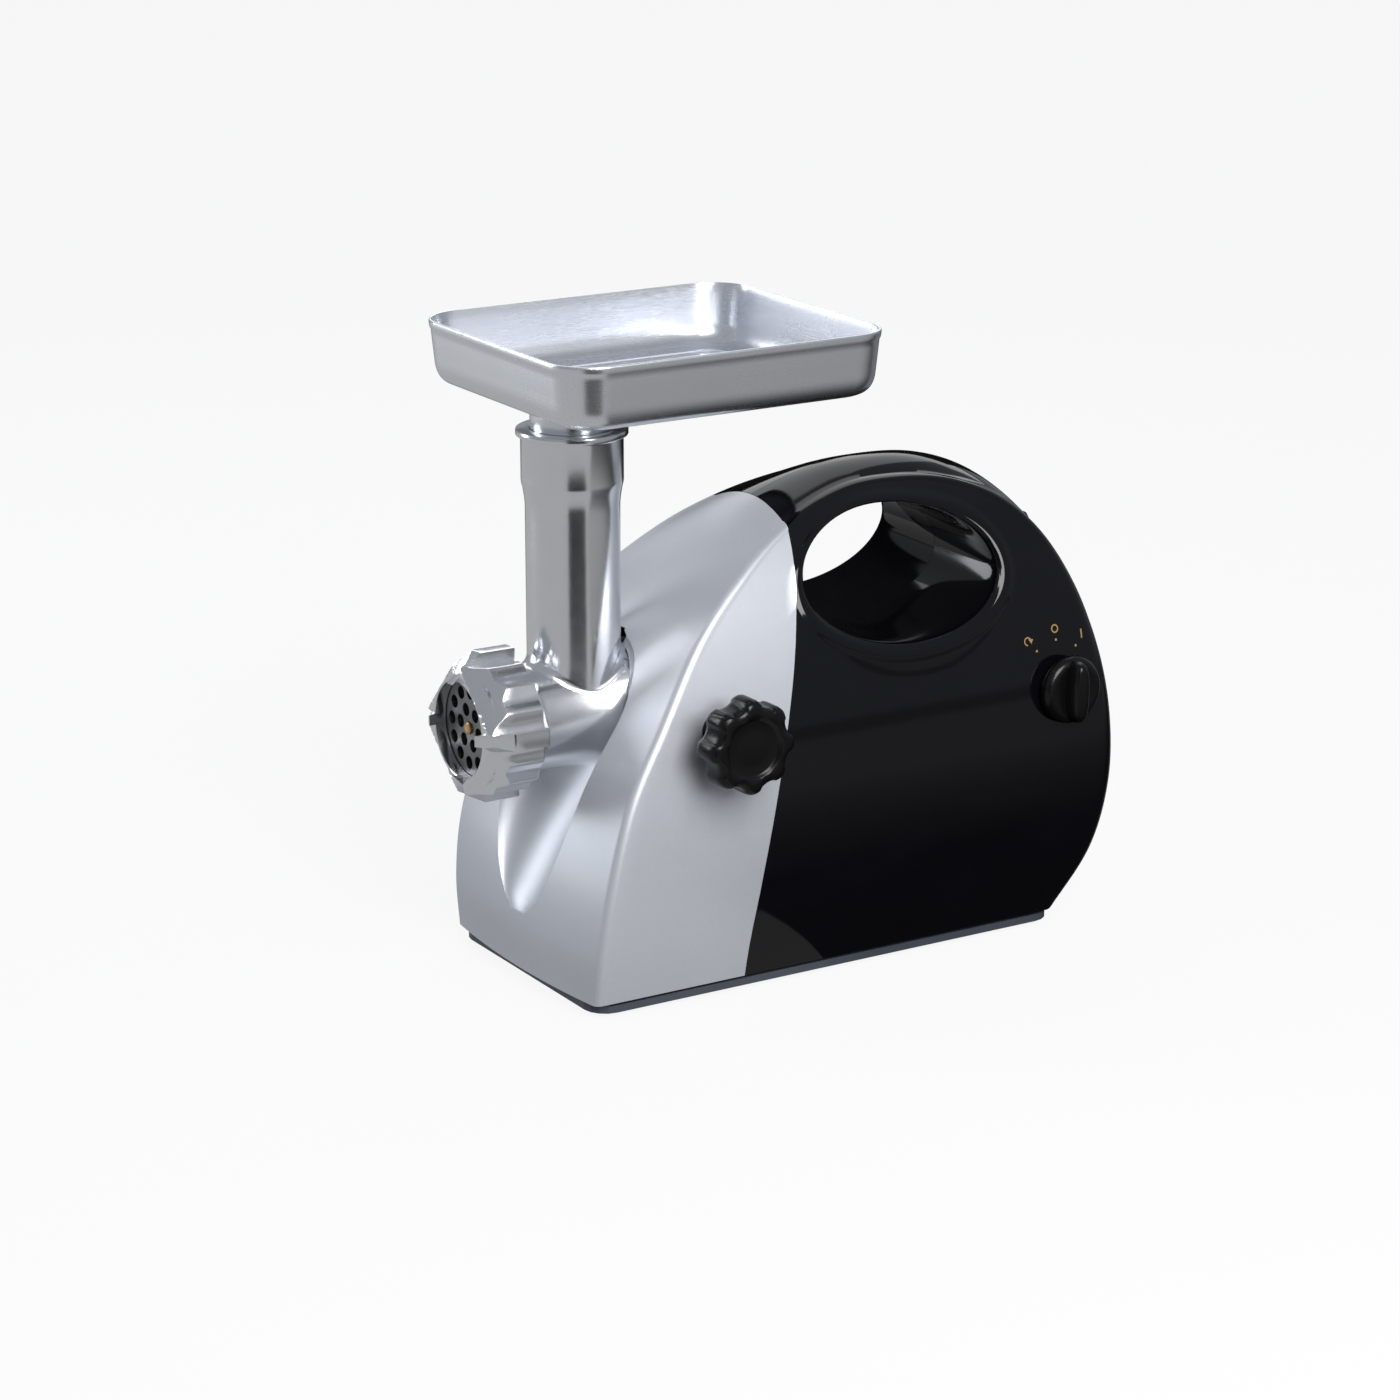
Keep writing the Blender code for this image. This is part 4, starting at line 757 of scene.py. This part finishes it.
profile = [(HEAD_FRONT, 0), (HEAD_FRONT, THREAD_R - 0.8), (HEAD_FRONT + 1, THREAD_R), (RING_Y[1] + 1, THREAD_R),
           (RING_Y[1] + 2.5, BARREL_R + 0.8)]
profile += [(y, float(barrel_radius(y))) for y in np.linspace(RING_Y[1] + 4.5, -65.5, 26)]
profile += [(-64.8, FLANGE_R - 0.2), (-64.2, FLANGE_R), (FLANGE_BACK - 0.4, FLANGE_R), (FLANGE_BACK, FLANGE_R - 0.4),
            (FLANGE_BACK, SPIGOT_R), (-28, SPIGOT_R), (-27, SPIGOT_R - 1), (-27, 0)]
ON_DRIVE = (0, 0, DRIVE_Z)
head = turned("head_casting", profile, "Y", ON_DRIVE, 144)
print("barrel from", HEAD_FRONT, "to", FLANGE_BACK, "mm")

# %% Feed tube with its fillet
around = np.linspace(0, math.tau, 144, endpoint=False) + 0.01
facing = np.column_stack([np.cos(around), np.sin(around), np.zeros(144)])
ball = np.array([0, TUBE_Y, 0]) + facing * (TUBE_R + FILLET)
level_y = np.minimum(ball[:, 1], FLANGE_BACK)
slope = (barrel_radius(level_y + 0.5) - barrel_radius(level_y - 0.5)) * (level_y < -64)
offset = barrel_radius(level_y) + FILLET * np.sqrt(1 + slope**2) - 0.12
ball[:, 2] = DRIVE_Z + np.sqrt(offset**2 - ball[:, 0] ** 2)
towards_barrel = np.column_stack([-ball[:, 0] / offset, slope, -(ball[:, 2] - DRIVE_Z) / offset])
towards_barrel /= np.linalg.norm(towards_barrel, axis=1)[:, None]
tube_rings = []
for drop, radius in (
    (0, 0), (0, LIP_R - 0.8), (0.3, LIP_R - 0.2), (0.9, LIP_R), (3.1, LIP_R), (3.7, LIP_R - 0.3), (4, LIP_R - 1),
    (4.3, TUBE_R + 2.6), (5, TUBE_R + 2.2), (30, TUBE_R + 2.2), (31.8, TUBE_R + 2.0), (35, TUBE_R + 1.2),
    (41, TUBE_R + 0.3), (COLLAR, TUBE_R),
):
    tube_rings.append(facing * radius + np.array([0, TUBE_Y, TUBE_TOP - drop]))
top = tube_rings[-1]
touch = ball - facing * FILLET
for share in np.linspace(0, 1, 12)[1:-1]:
    tube_rings.append(top + (touch - top) * share)
turn = np.arccos(np.clip((-facing * towards_barrel).sum(axis=1), -1, 1))[:, None]
for share in np.linspace(0, 1, 9):
    arc = (np.sin((1 - share) * turn) * -facing + np.sin(share * turn) * towards_barrel) / np.sin(turn)
    tube_rings.append(ball + arc * FILLET)
tube_rings.append(tube_rings[-1] + towards_barrel * 4)
tube_rings.append(np.array([0, TUBE_Y, DRIVE_Z + 6]) + facing * 14)
feed = skin("feed_tube", tube_rings)
carve(feed, [block("trim_tool", (-60, 60), (FLANGE_BACK, 0), (100, 232))])
print("feed tube:", len(tube_rings), "rings")

# %% Lug, rib and bores
lug = block("lug", (-5, 5), (-61, -48), (DRIVE_Z + 26, DRIVE_Z + 41))
bevel = lug.modifiers.new("soft", "BEVEL")
bevel.width = 0.0012
bevel.segments = 3
settle(lug)
rib_side = [(-66, DRIVE_Z + 28), (-59.5, DRIVE_Z + 28), (-59.5, DRIVE_Z + 36), (TUBE_Y + TUBE_R - 3, 248),
            (TUBE_Y + TUBE_R - 6, 248)]
rib = skin("rib", [[(x, y, z) for y, z in rib_side] for x in (-2.2, -1.6, 1.6, 2.2)])
carve(head, [feed, lug, rib], "UNION")
SEAT_R, SEAT_BACK = PLATE_R + 0.4, PLATE_Y[1] + 0.4
bore = [(-170, 0), (-170, SEAT_R), (SEAT_BACK, SEAT_R), (SEAT_BACK, BORE_R), (-60, BORE_R), (-60, 9), (-50, 9),
        (-50, 25), (-20, 25), (-20, 0)]
carve(head, [
    turned("bore_tool", bore, "Y", ON_DRIVE, 128), rod("Z", AT_TUBE, (DRIVE_Z + 4, TUBE_TOP + 5), TUBE_BORE, 128),
    rod("X", (0, LOCK_Y, DRIVE_Z), (SPIGOT_R - 3.4, SPIGOT_R + 3), 4.4),
])
put_on(head, ["grinder_head"], "polished_aluminium", 32)

# %% [markdown]
# ## The screw ring
# The ring is turned by hand, so its side is fluted, and four fangs stand out for a spanner or a palm. One formula
# gives the outer radius at each angle: flutes between, a fang at every quarter turn. A flat is milled across the
# front between two fangs, so the front edge of the side bulges back there.

# %% Screw ring
RING_R = 40.5
RING_MOUTH_R = 28.5
FLUTES = 16
FANG_R = 44.8
FANG_TIP = (27.6, -167.9)
FANG_HALF = 5.2
FANG_ANGLES = [math.radians(angle) for angle in (2, 92, 182, 272)]
FACET_FROM = 29.8
FACET_SLOPE = 1.5

wall_angle = math.asin(FANG_HALF / FANG_R)


def off_angle(angle, middle):
    return abs((angle - middle + math.pi) % math.tau - math.pi)


angles = set(np.round(np.linspace(0, math.tau, 384, endpoint=False), 5))
for middle in FANG_ANGLES:
    angles = {a for a in angles if abs(off_angle(a, middle) - wall_angle) > 0.012}
    for edge in (-wall_angle - 0.002, -wall_angle + 0.002, wall_angle - 0.002, wall_angle + 0.002):
        angles.add(round((middle + edge) % math.tau, 5))
angles = np.array(sorted(angles))
off_fang = np.min([off_angle(angles, middle) for middle in FANG_ANGLES], axis=0)
on_fang = off_fang < wall_angle
fluted = RING_R - 1.9 * np.abs(np.sin(FLUTES * (angles - FANG_ANGLES[0]) / 2)) ** 1.4
across_facet = math.pi / 4 - off_fang


def ring_loop(y, radius):
    y = np.broadcast_to(y, angles.shape)
    radius = np.broadcast_to(radius, angles.shape)
    return np.column_stack([radius * np.cos(angles), y, DRIVE_Z + radius * np.sin(angles)])


def front_at(radius):
    """How far back the front stands at this radius: the milled flat, or the slanted face of a fang."""
    flat_face = RING_Y[0] + np.maximum(0, radius * np.cos(across_facet) - FACET_FROM) * FACET_SLOPE
    slant = FANG_TIP[1] + (radius - FANG_TIP[0]) * 1.06
    return np.where(on_fang, slant, flat_face + 0.8 * np.clip((radius - 34) / 6, 0, 1))


rim = np.where(on_fang, FANG_R, fluted)
first = np.where(on_fang, FANG_TIP[0], RING_MOUTH_R)
front_rim = front_at(rim)
front = [first + 0.5, *(first + (rim - first) * share for share in (0.12, 0.28, 0.45, 0.6, 0.75, 0.88, 0.96))]
side = [(front_rim + (RING_Y[1] - 1.0 - front_rim) * share, rim) for share in (0.3, 0.6, 0.85)]
ring = skin("screw_ring_nut", [ring_loop(*loop) for loop in (
    (np.where(on_fang, RING_Y[0] + 1.2, RING_Y[0] + 1.0), RING_MOUTH_R),
    (front_at(first) + np.where(on_fang, 0.9, 0.3), first),
    *((front_at(radius), radius) for radius in front),
    (front_rim + 0.1, rim - 0.12), (front_rim + 0.7, rim), *side,
    (RING_Y[1] - 0.8, rim), (RING_Y[1] - 0.2, rim - 0.5), (RING_Y[1], rim - 1.4), (RING_Y[1], THREAD_R + 0.4),
    (PLATE_Y[0] - 0.5, THREAD_R + 0.4), (PLATE_Y[0] - 0.5, RING_MOUTH_R),
)], joined=True)
put_on(ring, ["screw_ring"], "polished_aluminium", 28)

# %% [markdown]
# ## Pieces that follow a rule
# The cutting plate repeats one hole, and the feed worm repeats one turn. Geometry Nodes suit both: the tree holds
# the rule, and the sizes are its inputs. The result is made a plain mesh, so nothing is left live.

# %% Running a tree
class Maker(Graph):
    """A Geometry Nodes tree with named sizes, which is run once to give a plain mesh."""

    def __init__(self, name, sizes, look):
        super().__init__(bpy.data.node_groups.new(name, "GeometryNodeTree"))
        self.sizes = sizes
        self.look = looks[look]
        for size, value in sizes.items():
            kind = "NodeSocketInt" if isinstance(value, int) else "NodeSocketFloat"
            self.tree.interface.new_socket(size, in_out="INPUT", socket_type=kind)
        self.tree.interface.new_socket("Geometry", in_out="OUTPUT", socket_type="NodeSocketGeometry")
        self.inlet = self.tree.nodes.new("NodeGroupInput")

    def size(self, name):
        return Value(self, self.inlet.outputs[name])

    def together(self, *shapes):
        joined = self.tree.nodes.new("GeometryNodeJoinGeometry")
        for shape in shapes:
            self.tree.links.new(shape.socket, joined.inputs[0])
        return Value(self, joined.outputs[0])

    def vector(self, x=0.0, y=0.0, z=0.0):
        return self.node("ShaderNodeCombineXYZ", {}, {0: x, 1: y, 2: z})

    def run(self, name, shape):
        real = self.node("GeometryNodeRealizeInstances", {}, {0: shape})
        dressed = self.node("GeometryNodeSetMaterial", {}, {0: real, "Material": self.look})
        outlet = self.tree.nodes.new("NodeGroupOutput")
        self.tree.links.new(dressed.socket, outlet.inputs[0])
        piece = in_scene(name, bpy.data.meshes.new(name))
        modifier = piece.modifiers.new("maker", "NODES")
        modifier.node_group = self.tree
        for item in self.tree.interface.items_tree:
            if item.in_out == "INPUT":
                modifier[item.identifier] = self.sizes[item.name]
        settle(piece)
        tidy(piece)
        return piece


# %% [markdown]
# ### Cutting plate
# Circles are laid round two rings of points, filled together with the rim as one flat face with holes, and drawn
# out to the plate's thickness. The flat face that is left behind is turned round to close the back.

# %% Cutting plate
plate = Maker("perforated_plate", {
    "Radius": PLATE_R * MM, "Thickness": (PLATE_Y[1] - PLATE_Y[0]) * MM, "Hole radius": 3.9 * MM,
    "Centre hole": 3.8 * MM, "Inner ring": 10.8 * MM, "Outer ring": 21.2 * MM, "Inner count": 6, "Outer count": 12,
}, "ground_steel")


def circle(radius, points):
    sockets = {"Radius": plate.size(radius), "Resolution": points}
    return plate.node("GeometryNodeCurvePrimitiveCircle", {"mode": "RADIUS"}, sockets)


def holes(count, ring_radius, turn):
    sockets = {"Vertices": plate.size(count), "Radius": plate.size(ring_radius)}
    seats = plate.node("GeometryNodeMeshCircle", {"fill_type": "NONE"}, sockets)
    hole = circle("Hole radius", 28)
    placed = plate.node("GeometryNodeInstanceOnPoints", {}, {"Points": seats, "Instance": hole})
    return plate.node("GeometryNodeTransform", {}, {"Geometry": placed, "Rotation": (0, 0, turn)})


outlines = plate.together(
    circle("Radius", 120), circle("Centre hole", 32),
    holes("Inner count", "Inner ring", -0.15), holes("Outer count", "Outer ring", -0.05),
)
real_outlines = plate.node("GeometryNodeRealizeInstances", {}, {0: outlines})
face = plate.node("GeometryNodeFillCurve", {"mode": "NGONS"}, {"Curve": real_outlines})
drawn = plate.node(
    "GeometryNodeExtrudeMesh", {"mode": "FACES"},
    {"Mesh": face, "Offset": plate.vector(z=1.0), "Offset Scale": plate.size("Thickness"), "Individual": False},
)
back_face = plate.node("GeometryNodeFlipFaces", {}, {"Mesh": face})
whole = plate.together(drawn, back_face)
solid = plate.node("GeometryNodeMergeByDistance", {}, {"Geometry": whole, "Distance": 1e-6})
stood = plate.node("GeometryNodeTransform", {}, {
    "Geometry": solid, "Rotation": (math.pi / 2, 0, 0),
    "Translation": tuple(in_frame([[0, PLATE_Y[1], DRIVE_Z]])[0]),
})
plate_disc = plate.run("plate_disc", stood)
carve(plate_disc, [block("notch_tool", (-2.4, 2.4), (-165, -140), (DRIVE_Z - 35, DRIVE_Z - PLATE_R + 2.6))])
put_on(plate_disc, ["cutting_plate"], "ground_steel", 30)

# %% [markdown]
# ### Feed worm
# A worm is a core with one flight wound round it. Take a fine upright cylinder, and at each point ask how far
# along its own turn the flight lies: angle plus height over pitch, and only its fraction counts. Near the flight
# the point is pushed out to the full radius, elsewhere it stays on the core, which is a cone.

# %% Feed worm
WORM_Y = (-141.0, -61.5)
worm = Maker("feed_worm", {
    "Length": (WORM_Y[1] - WORM_Y[0]) * MM, "Pitch": 28.0 * MM, "Flight radius": 25.7 * MM, "Core front": 9.5 * MM,
    "Core back": 14.0 * MM, "Flight half": 2.2 * MM, "Flank": 3.6 * MM, "Around": 72, "Along": 150,
}, "polished_aluminium")
length, pitch = worm.size("Length"), worm.size("Pitch")
core_front = worm.size("Core front")
blank = worm.node("GeometryNodeMeshCylinder", {"fill_type": "NGON"}, {
    "Vertices": worm.size("Around"), "Side Segments": worm.size("Along"), "Radius": 0.01, "Depth": length,
})
spot = worm.node("GeometryNodeInputPosition")
x, y, z = (worm.node("ShaderNodeSeparateXYZ", {}, {0: spot}, axis) for axis in range(3))
height = z + length * 0.5
angle = worm.node("ShaderNodeMath", {"operation": "ARCTAN2"}, {0: y, 1: x})
turns = angle * (1 / math.tau) + height / pitch
wrap = turns.maths("FRACT")
away = wrap.maths("MINIMUM", 1 - wrap) * pitch
core = core_front + (worm.size("Core back") - core_front) * (height / length)
fall = ((away - worm.size("Flight half")) / worm.size("Flank")).maths("MAXIMUM", 0.0).maths("MINIMUM", 1.0)
rise = 1 - fall * fall * (3 - 2 * fall)
radius = core + (worm.size("Flight radius") - core) * rise
wound = worm.node("GeometryNodeSetPosition", {}, {
    "Geometry": blank, "Position": worm.vector(radius * angle.maths("COSINE"), radius * angle.maths("SINE"), z),
})
laid = worm.node("GeometryNodeTransform", {}, {
    "Geometry": wound, "Rotation": (-math.pi / 2, 0, 0),
    "Translation": tuple(in_frame([[0, sum(WORM_Y) / 2, DRIVE_Z]])[0]),
})
feed_worm = worm.run("feed_worm_casting", laid)
SHANK_R = 7.15
NOSE_R = 4.6 * math.sqrt(2)


def bar(name, radius, sides, ends, turn=0.0):
    turned_to = [turn + math.tau * k / sides for k in range(sides)]
    corners = [(radius * math.cos(t), radius * math.sin(t)) for t in turned_to]
    return skin(name, [[(u, y, DRIVE_Z + v) for u, v in corners] for y in ends])


shank = bar("shank", SHANK_R, 6, (WORM_Y[1] - 2, -31))
nose = bar("nose", NOSE_R, 4, (-150, WORM_Y[0] + 2), math.pi / 4)
carve(feed_worm, [shank, nose], "UNION")
carve(feed_worm, [rod("Y", ON_DRIVE, (-155, -142.5), 2.8, 32)])
put_on(feed_worm, ["auger"], "polished_aluminium", 40)

# %% [markdown]
# ## Tray
# The tray is one pressed sheet: level rounded rectangles, smaller towards the floor, joined by a soft curve down
# the outside, over the rim and back up the inside. A shallow step runs round the floor, and the neck below it
# fits in the feed tube.

# %% Tray
TRAY_X = 93.0
TRAY_Y = (-138.7, 76.3)
TRAY_TOP = 385.0
TRAY_DEPTH = 39.0
CORNER = 26.0


def tray_loop(z, inset, corner_steps=14):
    corner = max(CORNER - inset * 0.7, 4)
    x = TRAY_X - inset
    near, far = TRAY_Y[0] + inset, TRAY_Y[1] - inset
    loop = []
    for cx, cy, start in ((x - corner, far - corner, 0), (corner - x, far - corner, 90),
                          (corner - x, near + corner, 180), (x - corner, near + corner, 270)):
        for step in range(corner_steps + 1):
            a = math.radians(start + 90 * step / corner_steps)
            loop.append((cx + corner * math.cos(a), cy + corner * math.sin(a), z))
    return loop


floor_z = TRAY_TOP - TRAY_DEPTH
outside = [(0, 26), (0.1, 18), (1.2, 11), (4.2, 6.2), (10, 3.4), (20, 2.2), (TRAY_DEPTH - 6, 1.0)]
rim_curve = [(-4.6, 0.4), (-3.2, 0.1), (-1.2, 0.0), (-0.3, 0.25), (0, 0.75), (-0.2, 1.3), (-1.2, 1.6)]
inside_curve = [
    (TRAY_DEPTH - 6, 2.2), (20, 3.8), (11, 5.2), (5.6, 8.2), (2.8, 12.5), (2.3, 17), (2.3, 21.0), (1.9, 22.2),
    (1.5, 23.4), (1.5, 28),
]
wall_curve = np.vstack([
    soft_profile(np.array(curve) + (level, 0), steps)
    for curve, level, steps in ((outside, floor_z, 5), (rim_curve, TRAY_TOP, 3), (inside_curve, floor_z, 5))
])
tray = skin("tray_pan", [tray_loop(min(z, TRAY_TOP), max(inset, 0)) for z, inset in wall_curve])
print("tray wall:", len(wall_curve), "loops")

# %% Neck of the tray
NECK_R = TUBE_BORE - 0.4
NECK_LOW = TUBE_TOP - 24
neck = turned("neck", [
    (NECK_LOW, 0), (NECK_LOW, NECK_R - 0.8), (NECK_LOW + 1, NECK_R), (floor_z + 0.8, NECK_R), (floor_z + 0.8, 0),
], "Z", AT_TUBE, 128)
funnel = turned("funnel_tool", [
    (NECK_LOW - 6, 0), (NECK_LOW - 6, NECK_R - 1.8), (floor_z - 2.5, NECK_R - 1.8), (floor_z - 1, NECK_R - 1.5),
    (floor_z + 0.5, NECK_R - 0.6), (floor_z + 1.6, NECK_R + 1.2), (floor_z + 2.2, NECK_R + 3.5),
    (TRAY_TOP, NECK_R + 3.5), (TRAY_TOP, 0),
], "Z", AT_TUBE, 128)
carve(tray, [neck], "UNION")
carve(tray, [funnel])
put_on(tray, ["hopper_tray"], "satin_aluminium", 40)

# %% [markdown]
# ## Lock knob and dial
# The knob is gripped with the whole hand, so it has eight lobes with finger hollows between. Its face is dished
# inside a raised rim. The dial is a round skirt with a tall rounded grip across it.

# %% Lock knob
KNOB_R, KNOB_LOBE, LOBES = 26.3, 2.0, 8
LOBED_FROM = 0.5
lock_side = float(half_width(DRIVE_Z))
x0, x1 = lock_side + 18.6, lock_side + 38.1


def knob_loop(x, size, points=240):
    """A round loop if the size is a radius, or a lobed one if it is a share of the knob's own."""
    a = np.linspace(0, math.tau, points, endpoint=False)
    wave = np.cos(LOBES * a)
    lobed = (KNOB_R + KNOB_LOBE * np.sign(wave) * np.abs(wave) ** 0.6) * size
    radius = lobed if LOBED_FROM <= size <= 1 else np.full(points, size)
    return np.column_stack([np.full(points, x), LOCK_Y + radius * np.cos(a), DRIVE_Z + radius * np.sin(a)])


knob = skin("lock_knob_grip", [knob_loop(*loop) for loop in (
    (x0 - 12, 14.5), (x0 - 4, 14.0), (x0 + 0.8, 13.4), (x0 + 1.2, 14.5), (x0 + 0.4, 0.8), (x0, 0.9),
    (x0 + 0.5, 0.96), (x0 + 2.2, 0.995), (x0 + 4, 1.0), (x1 - 6, 1.0), (x1 - 3.2, 0.985), (x1 - 1.4, 0.955),
    (x1 - 0.3, 0.9), (x1, 0.82), (x1, 0.74), (x1 - 0.1, 18.4), (x1 - 0.6, 17.6), (x1 - 1.9, 16.8),
    (x1 - 2.2, 16.0), (x1 - 1.8, 9.0), (x1 - 1.6, 0.2),
)])
carve(knob, [rod("X", (0, LOCK_Y, DRIVE_Z), (60, x0 + 13), 4.3, 32)])
put_on(knob, ["lock_knob"], "knob_black", 38)

# %% Dial
DIAL_R = 21.0
switch_side = float(half_width(SWITCH_Z))
d0 = switch_side + 3.7
dial_profile = [(switch_side - 18, 0), (switch_side - 18, 4.0), (switch_side - 17.8, 4.2), (d0, 4.2)]
dial_profile += [(d0 + out, DIAL_R - drop) for out, drop in (
    (0, 1), (0.3, 0.3), (1.2, 0), (3.2, 0.3), (5.2, 1.2), (6.5, 2.6), (7.0, 4.2), (6.9, 6), (6.0, DIAL_R),
)]
dial = turned("dial_grip", dial_profile, "X", (0, SWITCH_Y, SWITCH_Z), 128)
around = np.linspace(0, math.tau, 96, endpoint=False)
square_u = np.sign(np.cos(around)) * np.abs(np.cos(around)) ** 0.7
square_v = np.sign(np.sin(around)) * np.abs(np.sin(around)) ** 0.8
grip = skin("grip", [
    np.column_stack([np.full(96, d0 + out), SWITCH_Y + wide * square_u, SWITCH_Z + tall * square_v])
    for out, wide, tall in (
        (4, 7.4, 19.4), (7, 6.9, 19.2), (10, 6.2, 18.8), (13, 5.5, 18.0), (14.6, 4.7, 17.0), (15.4, 3.6, 15.6),
        (15.7, 2.2, 13.8),
    )
])
carve(dial, [grip], "UNION")
put_on(dial, ["switch_knob"], "knob_black", 38)

# %% [markdown]
# ### Dial marks
# Three positions are printed beside the dial: reverse, off and on. Signs known everywhere stand for them: an arrow
# turned back, a ring and a bar, each with a dot. Print is a very thin layer, so every sign is a thin sheet that
# follows the curve of the shell.

# %% Dial marks
plain_finish("gilt_print", (0.22, 0.14, 0.055), (0.33, 0.22, 0.09), 0.45, 900.0, 0.00001)
PRINT, SUNK = 0.08, -0.05


def printed(outline, hole=None):
    """Corners of a flat sign laid on the shell, as a thin closed band when it has a hole."""
    order = [(PRINT, outline), (SUNK, outline)]
    if hole:
        order[1:1] = [(PRINT, hole), (SUNK, hole)]
    return [[(float(half_width(z)) + lift, y, z) for y, z in loop] for lift, loop in order], bool(hole)


def arc(centre, radius, start, end, points):
    angles = np.radians(np.linspace(start, end, points))
    return [(centre[0] + radius * math.cos(t), centre[1] + radius * math.sin(t)) for t in angles]


def band(centre, radii, start, end, points=20):
    return arc(centre, radii[1], start, end, points) + arc(centre, radii[0], end, start, points)


signs = [printed(arc(dot, 0.75, 0, 345, 16)) for dot in ((203.0, 180.0), (188.2, 175.2), (217.0, 174.6))]
signs.append(printed(arc((203, 186.5), 2.6, 0, 352, 44), arc((203, 186.5), 1.75, 0, 352, 44)))
signs.append(printed([(221.6, 178.4), (222.6, 178.4), (222.6, 183.8), (221.6, 183.8)]))
signs.append(printed(band((182.4, 181.6), (1.9, 2.7), 20, 265)))
signs.append(printed([(186.3, 182.6), (182.9, 182.9), (184.9, 179.9)]))
mark_pieces = [skin(f"mark_{number}", loops, joined) for number, (loops, joined) in enumerate(signs)]
dial_marks = mark_pieces[0]
with bpy.context.temp_override(active_object=dial_marks, selected_editable_objects=mark_pieces):
    bpy.ops.object.join()
dial_marks.name = "dial_marks"
dial_marks.data.materials.clear()
dial_marks.data.materials.append(looks["gilt_print"])
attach(dial_marks, "base")
print("signs:", len(signs))

# %% [markdown]
# ## Carried-over pieces
# The motor, the gears and the small fixings keep their CAD shapes, which are right already, and take the finishes.

# %% Finishes for the CAD pieces
subparts = frame["record"]["subparts"]
for entry in subparts:
    node = frame["nodes"][entry["node"]]
    node.data.materials.clear()
    node.data.materials.append(looks[entry["material_slot"]])
print("CAD pieces dressed:", len(subparts))
